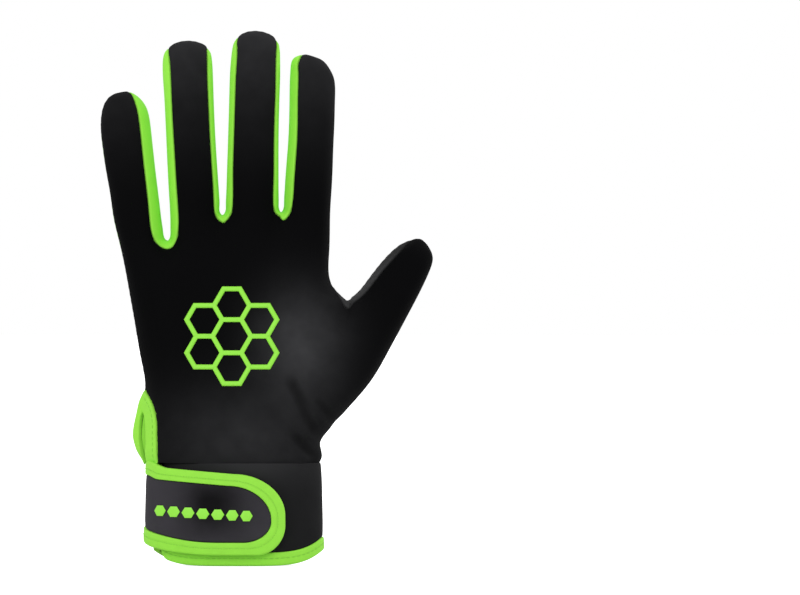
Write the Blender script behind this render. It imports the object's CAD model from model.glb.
"""A gaelic football glove for the left hand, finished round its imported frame.

The glove stands upright and open, as it is on a hand. Lengths in the pattern tables are in
millimetres; +Z is up, +X is the thumb side and the back of the hand faces -Y.
"""
import math
import random

import bpy
import numpy as np
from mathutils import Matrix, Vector
from mathutils.bvhtree import BVHTree
from mathutils.kdtree import KDTree


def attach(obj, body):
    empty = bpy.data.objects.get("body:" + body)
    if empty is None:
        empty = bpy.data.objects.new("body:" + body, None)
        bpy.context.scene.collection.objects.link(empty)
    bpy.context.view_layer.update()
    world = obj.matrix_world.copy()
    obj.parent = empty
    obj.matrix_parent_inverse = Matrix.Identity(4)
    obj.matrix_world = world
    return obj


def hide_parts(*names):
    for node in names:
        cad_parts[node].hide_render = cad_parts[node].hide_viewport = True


bl_info = {
    "name": "Gaelic Football Glove",
    "version": (1, 0, 0),
    "blender": (4, 5, 0),
    "location": "3D View > Sidebar > Glove",
    "description": "Builds the cloth, tapes, print and stage of a left-hand glove",
    "category": "Add Mesh",
}

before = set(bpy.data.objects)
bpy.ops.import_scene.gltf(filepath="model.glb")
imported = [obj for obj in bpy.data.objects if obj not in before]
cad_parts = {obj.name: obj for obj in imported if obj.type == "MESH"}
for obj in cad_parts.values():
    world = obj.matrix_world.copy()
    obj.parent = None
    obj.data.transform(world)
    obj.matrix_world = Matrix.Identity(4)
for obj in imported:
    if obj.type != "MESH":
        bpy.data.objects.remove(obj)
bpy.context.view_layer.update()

MM = 0.001
PHOTO_WIDTH_PX = 800
PHOTO_HEIGHT_PX = 595
MM_PER_PX = 0.45
PHOTO_ORIGIN_PX = (234.5, 565)

# Cross-sections of the hand, from the knuckles down to the wrist seam.
# zU and zR are the heights at the little-finger edge and the thumb edge, xU and xR those edges.
# backX is where the back ends beside the index finger and thumb, seamX where the palm ends.
# back and palm are the depths of the two sides. even is 0 with the fingers' spacing, 1 when even.
HAND_COLUMNS = ("zU", "zR", "xU", "xR", "backX", "seamX", "back", "palm", "even")
HAND_ROWS = [dict(zip(HAND_COLUMNS, row)) for row in (
    (146, 158, -52.0, 43.0, 39.6, 39.2, 11.5, 11.5, 0),
    (133, 142, -49.2, 42.7, 38.8, 40.4, 13.5, 13.5, 0.1),
    (120, 126.5, -46.9, 43.6, 39.5, 31.5, 14.5, 14, 0.25),
    (108, 119.3, -44.8, 50.0, 49.3, 33.5, 15, 14, 0.4),
    (94, 101, -42.5, 62.6, 46.0, 37.0, 15.5, 14.5, 0.55),
    (79, 82, -40.4, 57.6, 43.0, 31.5, 16, 15.5, 0.7),
    (68.4, 63, -41.4, 44.2, 37.5, 21.5, 17, 16.5, 0.82),
    (57, 54.5, -40.5, 38.6, 34.0, 12.5, 18.2, 18, 0.92),
    (46, 46, -39.9, 38.3, 32.5, 4.0, 19.6, 19.6, 1),
)]
HAND_SQUARENESS = 2.5
FIRST_PLACE = {"back": 0.07, "palm": 0.08}
FOLD_PLACE = {"knuckles": 0.75, "knuckleDepth": 5.2, "hand": 0.66}
CROTCH_CORNERS = {"backZ": 116.3, "backY": -3.5, "palmZ": 115}
EDGE_DEPTH = {"hand": 1, "thumbSide": 2}
CROTCH_ROW = 3
THUMB_END_ROW = 6
SLIT_TOP_ROW = 5
SLIT_ROW = 6

# The slit's two lips below its top, the back's edge beside them, and the bulge of the palm's tape.
SLIT_COLUMNS = ("tapeX", "backX", "backY", "palmX", "palmY", "bulgeX", "bulgeY")
SLIT_LIPS = {
    6: dict(zip(SLIT_COLUMNS, (-35.1, None, None, None, None, -42.9, 5.2))),
    7: dict(zip(SLIT_COLUMNS, (-34.6, -39.9, -4.5, -42.8, -1.8, -44.9, 4.6))),
    8: dict(zip(SLIT_COLUMNS, (-34.4, -39.9, -3.8, -41.2, 0.6, -40.2, 6.4))),
}

# Broad mounds and hollows of the palm: middle, reach and height.
PALM_COLUMNS = ("x", "z", "reachX", "reachZ", "rise")
PALM_RELIEF = [dict(zip(PALM_COLUMNS, row)) for row in (
    (36, 88, 15, 24, 6.5),
    (-24, 78, 14, 24, 2.5),
    (4, 96, 17, 22, -3.0),
    (14, 136, 16, 9, 1.8),
)]

# The fingers: root, tip, sideways bow, half widths at root, middle and tip, depths, forward curl,
# how square the tip's dome is and how far its top leans to the thumb side, and the widths of the
# side strips that show from the back and from the palm.
FINGER_COLUMNS = ("x0", "z0", "x1", "z1", "bow", "half0", "half1", "deep0", "deep1", "tip", "y0",
                  "curl", "dome", "lean", "stripU", "stripT", "palmU", "palmT")
FINGERS = [dict(zip(FINGER_COLUMNS, row)) for row in (
    (-42.0, 146.5, -50.1, 213.3, -4.6, 10.4, 11.1, 9.6, 8.6, 10.3, 1.5, 11, 2, 0, 3.2, 4.6, 3.0, 3.6),
    (-17.2, 151.5, -21.5, 235.8, -2.0, 11.3, 11.0, 10.6, 9.0, 11.0, 0.4, 10, 2.4, 0, 3.1, 1.9, 2.8, 3.4),
    (7.9, 158.2, 9.8, 240.5, -1.5, 11.7, 11.2, 11.0, 9.3, 11.2, -0.4, 9, 2.1, 0, 2.4, 1.4, 2.8, 3.4),
    (32.3, 159.2, 34.9, 229.3, 3.2, 10.8, 10.1, 10.6, 9.0, 10.0, 0, 8, 2.1, -3, 3.8, 3.2, 3.0, 3.8),
)]
FINGER_SQUARENESS = 2.3
FINGER_STATIONS = (0.2, 0.45, 0.7)
DOME_STEPS = (9, 2.8)
DOME_DEPTH = 0.94
INDEX_WRAP = {"fold": 0.8, "seam": 5}
# The faces that close each fingertip: the piece and the columns of its last ring, then the tip.
# A strip that is named here runs up to the tip, the others end in a point below it.
PLAIN_TIP = (("back", 7, 0, 1), ("back", 1, 2, 3), ("palm", 3, 4, 5), ("palm", 5, 6, 7))
LITTLE_TIP = (("back", 7, 0, 1), ("back", 1, 2), ("strip_t", 2, 3, 4), ("palm", 4, 5), ("palm", 5, 6, 7))
INDEX_TIP = (("back", 0, 1, 2), ("back", 2, 3, 4), ("back", 4, 5), ("palm", 5, 6, 7),
             ("strip_u", 7, 8, 0))
TIPS = (LITTLE_TIP, PLAIN_TIP, PLAIN_TIP, INDEX_TIP)

# The valleys between the fingers: the bottom of the gap, the ends of the strip below it, and how
# far those ends are let down where they are made blunt.
CROTCH_COLUMNS = ("x", "z", "backZ", "palmZ", "y", "web", "backDrop", "palmDrop")
CROTCHES = [dict(zip(CROTCH_COLUMNS, row)) for row in (
    (-29.9, 145.6, 142.2, 139.5, 1.4, 7.6, 1.8, 1.5),
    (-5.2, 157.2, 153.2, 149.5, 0.4, 8.4, 1.3, 1.7),
    (20.9, 158.4, 155.4, 153.0, 0.4, 8.4, 2.4, 2.4),
)]
# How far the walls of each gap are moved apart near its bottom, so that it ends in a U.
CROTCH_ROUNDING = (0.6, 0.9, 0.7)
# Near the ends of the side strips below the gaps, the seams are made blunt.
STRIP_END = {"reach": 7.5, "rounds": 260}

# Rings of the thumb from its root out: its two ends seen from the back, how far forward it is,
# its depth, and where the palm ends on it (-1 at the inner edge, 1 at the outer edge).
THUMB_COLUMNS = ("inX", "inZ", "outX", "outZ", "y", "deep", "seam")
THUMB_RINGS = [dict(zip(THUMB_COLUMNS, row)) for row in (
    (52.4, 120.1, 58.0, 78.5, 4.0, 14.5, 0.1),
    (55.4, 122.7, 67.6, 93.0, 6.0, 13.5, 0.25),
    (59.0, 127.0, 77.4, 111.4, 8.5, 11.6, 0.3),
    (65.2, 135.1, 83.0, 122.0, 11.0, 10.4, 0.33),
    (72.8, 142.9, 88.0, 132.9, 13.5, 8.8, 0.42),
    (78.8, 146.0, 89.0, 139.8, 15.0, 5.8, 0.45),
)]
THUMB_TIP = (84.6, 16.0, 146.6)
THUMB_STRIP = 2.7
THUMB_BACK_PLACES = (-0.32, 0.32, 0.8)
THUMB_PALM_PLACES = (0.72, 0.47, 0.24, 0.07)
THUMB_FOLD = 0.75
THUMB_SEAM = 7
THUMB_SLIM = 9

# Wrist parts, all laid on the cuff's outer surface.
CUFF = {"x": 1.5, "half": 37.3, "flare": 1.2, "back": 20.6, "backFlare": 1.6, "squareness": 2.3,
        "top": 45.1, "wall": 2.6, "backEnd": -35.3, "palmEndGap": 0.5}
HEM = {"rise": 6.8, "palmRise": 3.0, "sharpness": 5, "merge": 6, "corner": 3.5, "stand": 0.5, "wall": 3.6}
LOOP_PATCH = {"from": -16, "to": 16, "bottom": 11, "top": 34, "lift": 0.3, "wall": 0.7}
# The strap's outer edge and its tape's inner edge have their own corner radii, along and up.
STRAP = {"start": -52.4, "lapped": -46.8, "end": 20.5, "top": 41.3, "startTop": 45.3, "slope": 0.09,
         "bottom": 4.8, "level": -7, "curve": 0.0037, "wall": 2.2, "lift": 1.5, "flushLift": -2.2,
         "cornerTop": (22, 18.3), "innerTop": (18.5, 14.5), "cornerBottom": (12.5, 14),
         "innerBottom": (12, 9.2)}
EDGE = {"stand": 0.5, "wall": 2.9}
BINDING_WIDTH = 6
PRINT = {"x": -1.0, "z": 103, "cell": 8.6, "line": 2.2, "lift": 0.12, "wall": 0.5}
STRAP_PRINT = {"from": -33, "to": 4, "z0": 24.8, "z1": 22.6, "count": 7, "cell": 2.7, "lift": 0.1,
               "wall": 0.4}

# Places where a seam or the outline runs beside its smooth course: middle, reach and move.
NUDGE_COLUMNS = ("x", "z", "reachX", "reachZ", "moveX", "moveZ")
BACK_SEAM_NUDGES = [dict(zip(NUDGE_COLUMNS, row)) for row in (
    (-37.8, 74.3, 4.0, 4.0, 1.7, 0.0),
    (-35.0, 56.0, 4.0, 12.0, -0.8, 0.0),
    (-29.0, 143.0, 6.0, 4.0, 1.1, -0.3),
    (21.5, 157.0, 5.0, 4.0, 0.8, 0.0),
    (31.5, 228.5, 3.5, 3.0, 3.0, -2.6),
    (28.0, 212.0, 3.0, 14.0, -0.6, 0.0),
    (17.5, 213.0, 3.0, 16.0, 0.4, 0.0),
    (-4.0, 233.0, 3.0, 4.0, 1.0, 0.0),
    (-14.0, 233.5, 3.5, 3.5, -3.0, 0.0),
    (-28.5, 234.0, 3.0, 3.0, 2.2, 0.0),
    (-26.5, 205.0, 3.0, 14.0, -0.35, 0.0),
    (-26.0, 172.0, 3.0, 20.0, 0.45, 0.0),
)]
PALM_SEAM_NUDGES = [dict(zip(NUDGE_COLUMNS, row)) for row in (
    (33.0, 229.0, 7.0, 4.5, 0.0, -2.4),
)]
OUTLINE_NUDGES = [dict(zip(NUDGE_COLUMNS, row)) for row in (
    (-60.0, 197.0, 4.0, 9.0, -0.45, 0.0),
    (-55.5, 169.0, 4.0, 11.0, 0.7, 0.0),
    (-50.0, 213.0, 5.0, 3.0, 0.0, -0.35),
    (-43.0, 210.5, 4.0, 4.0, -0.4, -0.3),
    (-31.5, 224.0, 4.0, 10.0, -0.4, 0.1),
    (-21.5, 236.0, 7.0, 3.0, 0.0, 0.25),
    (-1.0, 231.0, 3.5, 8.0, 0.4, 0.0),
    (20.7, 229.0, 3.0, 8.0, -0.3, 0.0),
    (27.5, 227.0, 3.5, 4.0, -0.6, 0.6),
    (32.0, 229.5, 3.0, 2.0, 0.0, 0.4),
    (43.5, 222.0, 4.0, 7.0, -0.45, -0.2),
    (45.0, 200.0, 4.0, 10.0, 0.3, 0.0),
    (-45.5, 62.0, 4.0, 11.0, 0.4, 0.0),
    (-43.0, 48.0, 3.0, 4.0, 0.8, 0.0),
    (38.5, 52.5, 4.0, 5.0, 0.7, 0.0),
)]

# Folds pressed into the cloth near the wrist and thumb: ends on the back, width and depth.
FOLD_COLUMNS = ("x0", "z0", "x1", "z1", "width", "depth")
BACK_FOLDS = [dict(zip(FOLD_COLUMNS, row)) for row in (
    (27.0, 80.0, 35.5, 61.5, 3.3, 0.9),
    (29.5, 57.0, 34.6, 51.0, 2.6, 0.8),
    (38.0, 73.0, 42.4, 68.0, 2.8, 0.8),
    (20.0, 66.0, 30.0, 53.0, 5.0, 0.25),
)]
# Oval pads of the palm and the shallow rings round them: middle, half lengths, turn and depth.
OVAL_COLUMNS = ("x", "z", "long", "short", "turn", "depth")
PALM_PADS = [dict(zip(OVAL_COLUMNS, row)) for row in (
    (18.4, 140.3, 13.0, 6.5, 38, 1.3),
    (20.5, 109.8, 6.0, 3.2, 45, 1.0),
)]
PALM_RINGS = [dict(zip(OVAL_COLUMNS, row)) for row in (
    (9.5, 133.5, 27.0, 12.0, 33, 0.55),
    (17.8, 109.0, 10.5, 5.6, 45, 0.8),
)]
RING_WIDTH = 0.34

# How far each sewn piece stands out of the hand's surface and how far it goes in.
WALLS = {
    "back_panel": (0, 1.5),
    "palm_panel": (0, 2.0),
    "fourchette_little_ring": (0, 1.2),
    "fourchette_ring_middle": (0, 1.2),
    "fourchette_middle_index": (0, 1.2),
    "thumb_gusset": (0, 1.4),
    "vent_binding": (0.5, 1.2),
}
STITCH_INSET = 2.6
STITCH_INSETS = {"vent": STITCH_INSET, "notch": 1.5}
TAPE_PUCKER = 2.6
SEAM_PUCKER = 3.6
TAPE_TUCK = 0.1
CUFF_RISE = 0.95
FLOOR_DROP = 0.3
SEAM_ROUNDS = 70
SPREAD_ROUNDS = 260
NORMAL_ROUNDS = 3
LONGEST_SHIFT = 2.6
PIPING = {"from": 122, "to": 200, "aside": 2.1, "taper": 0.08}
VENT_FACING = {"aside": 0.9, "behind": 1.0, "width": 5, "wall": 0.5}
# The vent's tape is faced with dark cloth where it turns to the palm: where it begins and is full.
VENT_BACKING = (5.5, 6.3)
SEAM_DARK = (0.002, 0.002, 0.002)

FINE_LEVELS = 4
FIT_ROUNDS = 6
FIT_LEVELS = 3


def lerp(a, b, t):
    return a + (b - a) * t


def clamp(value, low, high):
    return max(low, min(high, value))


def smooth_between(value, low, high):
    """0 below low, 1 above high and a smooth step between them."""
    t = np.clip((np.asarray(value, float) - low) / (high - low), 0, 1)
    return t * t * (3 - 2 * t)


def roundness(place, squareness):
    side = min(1, abs(place)) ** squareness
    return (1 - side) ** (1 / squareness)


class Cage:
    """The cage of flat faces that the glove's smooth surface follows."""

    def __init__(self):
        self.points = []
        self.faces = []
        self.pieces = []

    def point(self, x, y, z):
        self.points.append([x, y, z])
        return len(self.points) - 1

    def face(self, piece, corners):
        self.faces.append(list(corners))
        self.pieces.append(piece)


def palm_relief(x, z):
    rise = 0
    for mound in PALM_RELIEF:
        away = ((x - mound["x"]) / mound["reachX"]) ** 2 + ((z - mound["z"]) / mound["reachZ"]) ** 2
        rise += mound["rise"] * math.exp(-away)
    return rise


def hand_point(cage, row, x, side, z):
    """A point on one row of the hand, on its back (side -1) or palm (side 1)."""
    middle = (row["xU"] + row["xR"]) / 2
    half = (row["xR"] - row["xU"]) / 2
    place = (x - middle) / half
    depth = row["back"] if side < 0 else row["palm"]
    y = side * depth * roundness(place, HAND_SQUARENESS)
    relief = palm_relief(x, z) * roundness(place, 2) if side > 0 else 0
    return cage.point(x, y + relief, z)


def row_height(row, x):
    across = clamp((x - row["xU"]) / (row["xR"] - row["xU"]), 0, 1)
    return lerp(row["zU"], row["zR"], across)


def finger_point(cage, finger, t, half, deep, across, side, lean):
    length = finger["z1"] - finger["z0"]
    x = lerp(finger["x0"], finger["x1"], t) + finger["bow"] * t * (1 - t)
    lean_x = (finger["x1"] - finger["x0"] + finger["bow"] * (1 - 2 * t)) / length
    lean_y = 2 * finger["curl"] * t / length
    away_x = across * half
    away_y = side * deep * roundness(across, FINGER_SQUARENESS)
    y = finger["y0"] + finger["curl"] * t * t + away_y
    z = finger["z0"] + length * t - away_x * lean_x - away_y * lean_y
    return cage.point(x + away_x + lean, y, z)


def finger_places(finger, half):
    return {
        "backU": -(1 - finger["stripU"] / half),
        "backT": 1 - finger["stripT"] / half,
        "palmU": -(1 - finger["palmU"] / half),
        "palmT": 1 - finger["palmT"] / half,
    }


def knuckle_height(x):
    first = HAND_ROWS[0]
    line = [(first["xU"], first["zU"])]
    line += [(crotch["x"], crotch["z"]) for crotch in CROTCHES]
    line.append((first["xR"], first["zR"]))
    xs, zs = zip(*line)
    return float(np.interp(x, xs, zs))


def knuckle_point(cage, finger, across, side):
    x = finger["x0"] + across * finger["half0"]
    y = finger["y0"] + side * finger["deep0"] * roundness(across, FINGER_SQUARENESS)
    return cage.point(x, y, knuckle_height(x))


def knuckle_row(cage, valleys):
    """The knuckle row, which is also each finger's first ring."""
    first = HAND_ROWS[0]
    row = {"back": [], "palm": []}
    for i, finger in enumerate(FINGERS):
        at = finger_places(finger, finger["half0"])
        for side, sign in (("back", -1), ("palm", 1)):
            for across in (at[side + "U"], 0, at[side + "T"]):
                row[side].append(knuckle_point(cage, finger, across, sign))
            if i < len(valleys):
                row[side].append(valleys[i][side])
    row["ulnar"] = cage.point(first["xU"], FINGERS[0]["y0"], first["zU"])
    row["radial"] = cage.point(first["xR"], FINGERS[3]["y0"], first["zR"])
    fold_x = lerp(first["seamX"], first["xR"], FOLD_PLACE["knuckles"])
    row["fold"] = cage.point(fold_x, FOLD_PLACE["knuckleDepth"], first["zR"])
    return row


def hand_row(cage, index, knuckles):
    """A row below the knuckles, its points spread more evenly towards the wrist."""
    row = HAND_ROWS[index]
    first = HAND_ROWS[0]
    lips = SLIT_LIPS.get(index)
    points = {"back": [], "palm": []}
    for side, sign, edge in (("back", -1, "backX"), ("palm", 1, "seamX")):
        count = len(knuckles[side])
        for i, above in enumerate(knuckles[side]):
            from_fingers = (cage.points[above][0] - first["xU"]) / (first[edge] - first["xU"])
            from_wrist = lerp(FIRST_PLACE[side], 1, i / (count - 1))
            across = lerp(from_fingers, from_wrist, row["even"])
            x = lerp(row["xU"], row[edge], across)
            if lips and i == 0 and side == "back":
                x = lips["tapeX"]
            points[side].append(hand_point(cage, row, x, sign, row_height(row, x)))
    in_thumb_hole = CROTCH_ROW < index < THUMB_END_ROW
    points["radial"] = points["fold"] = None
    if not in_thumb_hole:
        fold_x = lerp(row["seamX"], row["xR"], FOLD_PLACE["hand"])
        points["radial"] = cage.point(row["xR"], EDGE_DEPTH["thumbSide"], row["zR"])
        points["fold"] = hand_point(cage, row, fold_x, 1, row_height(row, fold_x))
    if lips:
        bulge = cage.points[points["palm"][0]]
        bulge[0] = lips["bulgeX"]
        bulge[1] = lips["bulgeY"]
    if lips and index > SLIT_ROW:
        points["ulnar"] = cage.point(lips["backX"], lips["backY"], row["zU"])
        points["ulnarPalm"] = cage.point(lips["palmX"], lips["palmY"], row["zU"])
    else:
        points["ulnar"] = cage.point(row["xU"], EDGE_DEPTH["hand"], row["zU"])
    return points


def around_hand(row):
    """A row's points round the hand, back first, ending where it began."""
    end = row.get("ulnarPalm", row["ulnar"])
    return [row["ulnar"], *row["back"], row["radial"], row["fold"], *reversed(row["palm"]), end]


def hand_faces(cage, rows):
    back_end = len(rows[0]["back"])
    radial = back_end + 1
    fold = back_end + 2
    last = len(around_hand(rows[0])) - 2
    for r in range(len(rows) - 1):
        upper = around_hand(rows[r])
        lower = around_hand(rows[r + 1])
        for j in range(last + 1):
            if CROTCH_ROW <= r < THUMB_END_ROW and back_end <= j <= fold:
                continue
            a, b, c, d = upper[j], lower[j], lower[j + 1], upper[j + 1]
            if j == 0 and r == SLIT_TOP_ROW:
                cage.face("vent_binding", (a, b, c))
                cage.face("back_panel", (a, c, d))
            elif j == last and r == SLIT_TOP_ROW:
                cage.face("vent_binding", (b, c, d))
                cage.face("palm_panel", (a, b, d))
            elif j in (0, last) and r >= SLIT_ROW:
                cage.face("vent_binding", (a, b, c, d))
            elif j == back_end and r == CROTCH_ROW - 1:
                cage.face("back_panel", (a, b, d))
                cage.face("thumb_gusset", (b, c, d))
            elif j in (radial, fold) and r == CROTCH_ROW - 1:
                cage.face("thumb_gusset", (a, b, c, d))
            elif j == fold and r == CROTCH_ROW - 2:
                cage.face("back_panel", (a, b, d))
                cage.face("thumb_gusset", (b, c, d))
            else:
                cage.face("back_panel" if j <= fold else "palm_panel", (a, b, c, d))


SIDE_STRIPS = ("fourchette_little_ring", "fourchette_ring_middle", "fourchette_middle_index")


def finger_rings(cage, finger, i, knuckles, valleys):
    is_index = i == len(FINGERS) - 1
    at = 4 * i
    back = knuckles["back"]
    palm = knuckles["palm"]
    side_t = [knuckles["radial"], knuckles["fold"]] if is_index else [valleys[i]["deep"]]
    side_u = knuckles["ulnar"] if i == 0 else valleys[i - 1]["deep"]
    rings = [[back[at], back[at + 1], back[at + 2], *side_t, palm[at + 2], palm[at + 1], palm[at], side_u]]
    length = finger["z1"] - finger["z0"]
    stations = []
    for t in FINGER_STATIONS:
        settled = min(1, t / FINGER_STATIONS[1])
        half = lerp(finger["half0"], finger["half1"], settled)
        stations.append((t, half, lerp(finger["deep0"], finger["deep1"], settled), 1, 0))
    for below in DOME_STEPS:
        up = 1 - below / finger["tip"]
        stations.append((1 - below / length, finger["tip"], finger["deep1"] * DOME_DEPTH,
                         roundness(up, finger["dome"]), finger["lean"] * up ** 2))
    for t, half, deep, shrink, lean in stations:
        edges = finger_places(finger, half)
        places = [(edges["backU"], -1), (0, -1), (edges["backT"], -1), (1, -1)]
        if is_index:
            places.append((lerp(edges["palmT"], 1, INDEX_WRAP["fold"]), 1))
        places += [(edges["palmT"], 1), (0, 1), (edges["palmU"], 1), (-1, -1)]
        rings.append([finger_point(cage, finger, t, half * shrink, deep * shrink, across, side, lean)
                      for across, side in places])
    return rings


def finger_piece(j, last, is_index, strip_u, strip_t):
    """The piece that a column of a finger's faces belongs to."""
    if j == last:
        return strip_u or "back_panel"
    if j == last - 1:
        return strip_u or "palm_panel"
    if is_index:
        return "back_panel" if j < INDEX_WRAP["seam"] else "palm_panel"
    if j in (2, 3):
        return strip_t
    return "back_panel" if j < 2 else "palm_panel"


def add_finger(cage, i, knuckles, valleys):
    finger = FINGERS[i]
    is_index = i == len(FINGERS) - 1
    rings = finger_rings(cage, finger, i, knuckles, valleys)
    size = len(rings[0])
    last = size - 1
    strip_u = SIDE_STRIPS[i - 1] if i > 0 else None
    strip_t = None if is_index else SIDE_STRIPS[i]
    pieces = {"back": "back_panel", "palm": "palm_panel", "strip_u": strip_u, "strip_t": strip_t}
    to_the_tip = {pieces[name] for name, *_ in TIPS[i]}
    for k in range(len(rings) - 1):
        for j in range(size):
            after = (j + 1) % size
            a, b, c, d = rings[k][j], rings[k][after], rings[k + 1][after], rings[k + 1][j]
            piece = finger_piece(j, last, is_index, strip_u, strip_t)
            strip = piece in (strip_u, strip_t) and piece not in to_the_tip
            pointed = k == len(rings) - 2
            if pointed and strip and j in (2, last - 1):
                cage.face(piece, (a, b, c))
                cage.face("back_panel" if j == 2 else "palm_panel", (a, c, d))
            elif pointed and strip:
                cage.face(piece, (a, b, d))
                cage.face("back_panel" if j == last else "palm_panel", (b, c, d))
            else:
                cage.face(piece, (a, b, c, d))
    top = rings[-1]
    tip = cage.point(finger["x1"] + finger["lean"], finger["y0"] + finger["curl"], finger["z1"])
    for name, *columns in TIPS[i]:
        cage.face(pieces[name], [top[j] for j in columns] + [tip])
    return tip


def thumb_ring(cage, ring):
    middle = ((ring["inX"] + ring["outX"]) / 2, (ring["inZ"] + ring["outZ"]) / 2)
    reach = ((ring["outX"] - ring["inX"]) / 2, (ring["outZ"] - ring["inZ"]) / 2)
    half = math.hypot(*reach)
    strip = 1 - THUMB_STRIP / half * min(1, half / THUMB_SLIM)

    def place(across, side):
        y = ring["y"] + side * ring["deep"] * roundness(across, FINGER_SQUARENESS)
        return cage.point(middle[0] + across * reach[0], y, middle[1] + across * reach[1])

    points = [place(-1, -1), place(-strip, -1)]
    points += [place(across, -1) for across in THUMB_BACK_PLACES]
    points += [place(1, -1), place(lerp(ring["seam"], 1, THUMB_FOLD), 1), place(ring["seam"], 1)]
    points += [place(lerp(-1, ring["seam"], share), 1) for share in THUMB_PALM_PLACES]
    return points


def add_thumb(cage, rows):
    top = rows[CROTCH_ROW]
    end = rows[THUMB_END_ROW]
    mid_back = [rows[r]["back"][-1] for r in range(CROTCH_ROW + 1, THUMB_END_ROW)]
    mid_palm = [rows[r]["palm"][-1] for r in range(CROTCH_ROW + 1, THUMB_END_ROW)]
    rings = [[top["radial"], top["back"][-1], *mid_back, end["back"][-1], end["radial"], end["fold"],
              end["palm"][-1], *reversed(mid_palm), top["palm"][-1], top["fold"]]]
    rings += [thumb_ring(cage, ring) for ring in THUMB_RINGS]
    size = len(rings[0])
    for k in range(len(rings) - 1):
        for j in range(size):
            after = (j + 1) % size
            a, b, c, d = rings[k][j], rings[k][after], rings[k + 1][after], rings[k + 1][j]
            if j == 0 and k == len(rings) - 2:
                cage.face("thumb_gusset", (a, b, d))
                cage.face("back_panel", (b, c, d))
            elif j == 0:
                cage.face("thumb_gusset", (a, b, c, d))
            else:
                cage.face("back_panel" if j < THUMB_SEAM else "palm_panel", (a, b, c, d))
    last = rings[-1]
    tip = cage.point(*THUMB_TIP)
    wedges = ((0, 1, 2), (2, 3, 4, 5), (5, 6, 7), (7, 8, 9), (9, 10, 11, 0))
    for i, wedge in enumerate(wedges):
        piece = "back_panel" if i < 3 else "palm_panel"
        cage.face(piece, [last[j] for j in wedge] + [tip])


def glove_cage():
    """The whole cage, with the names of a few of its points."""
    cage = Cage()
    valleys = []
    for crotch in CROTCHES:
        valleys.append({
            "deep": cage.point(crotch["x"], crotch["y"], crotch["z"]),
            "back": cage.point(crotch["x"], crotch["y"] - crotch["web"], crotch["backZ"]),
            "palm": cage.point(crotch["x"], crotch["y"] + crotch["web"], crotch["palmZ"]),
        })
    knuckles = knuckle_row(cage, valleys)
    rows = [knuckles]
    rows += [hand_row(cage, i, knuckles) for i in range(1, len(HAND_ROWS))]
    cage.points[rows[CROTCH_ROW]["back"][-1]][1:] = [CROTCH_CORNERS["backY"], CROTCH_CORNERS["backZ"]]
    cage.points[rows[CROTCH_ROW]["palm"][-1]][2] = CROTCH_CORNERS["palmZ"]
    hand_faces(cage, rows)
    for i, strip in enumerate(SIDE_STRIPS):
        at = 4 * i
        back = knuckles["back"]
        palm = knuckles["palm"]
        deep = valleys[i]["deep"]
        cage.face(strip, (back[at + 2], back[at + 3], back[at + 4], deep))
        cage.face(strip, (palm[at + 4], palm[at + 3], palm[at + 2], deep))
    tips = [add_finger(cage, i, knuckles, valleys) for i in range(len(FINGERS))]
    add_thumb(cage, rows)
    names = {
        "slit_back": rows[-1]["back"][0],
        "slit_top": rows[SLIT_TOP_ROW]["ulnar"],
        "lip_top": rows[SLIT_ROW]["ulnar"],
        "lip_palm": rows[-1]["ulnarPalm"],
        "notch_top": rows[CROTCH_ROW - 2]["palm"][-1],
        "notch_end": rows[CROTCH_ROW]["radial"],
        "little_tip": tips[0],
        "little_edge": rows[1]["ulnar"],
    }
    return cage, names


class Surface:
    """Points and faces of one smoothing level. Faces are kept corner by corner."""

    def __init__(self, points, corners, face_of, starts, pieces):
        self.points = points
        self.corners = corners
        self.face_of = face_of
        self.starts = starts
        self.pieces = pieces
        self.edge_of = None
        self.edges = None

    @classmethod
    def from_cage(cls, cage, piece_names):
        sizes = np.array([len(face) for face in cage.faces])
        starts = np.concatenate(([0], np.cumsum(sizes)))
        corners = np.concatenate([np.array(face) for face in cage.faces])
        face_of = np.repeat(np.arange(len(sizes)), sizes)
        pieces = np.array([piece_names.index(piece) for piece in cage.pieces])
        return cls(np.array(cage.points, float), corners, face_of, starts, pieces)

    def neighbours(self):
        """For each corner, the place of the next and of the one before it in its face."""
        index = np.arange(len(self.corners))
        first = self.starts[self.face_of]
        size = self.starts[self.face_of + 1] - first
        after = first + (index - first + 1) % size
        before = first + (index - first - 1) % size
        return after, before


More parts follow.
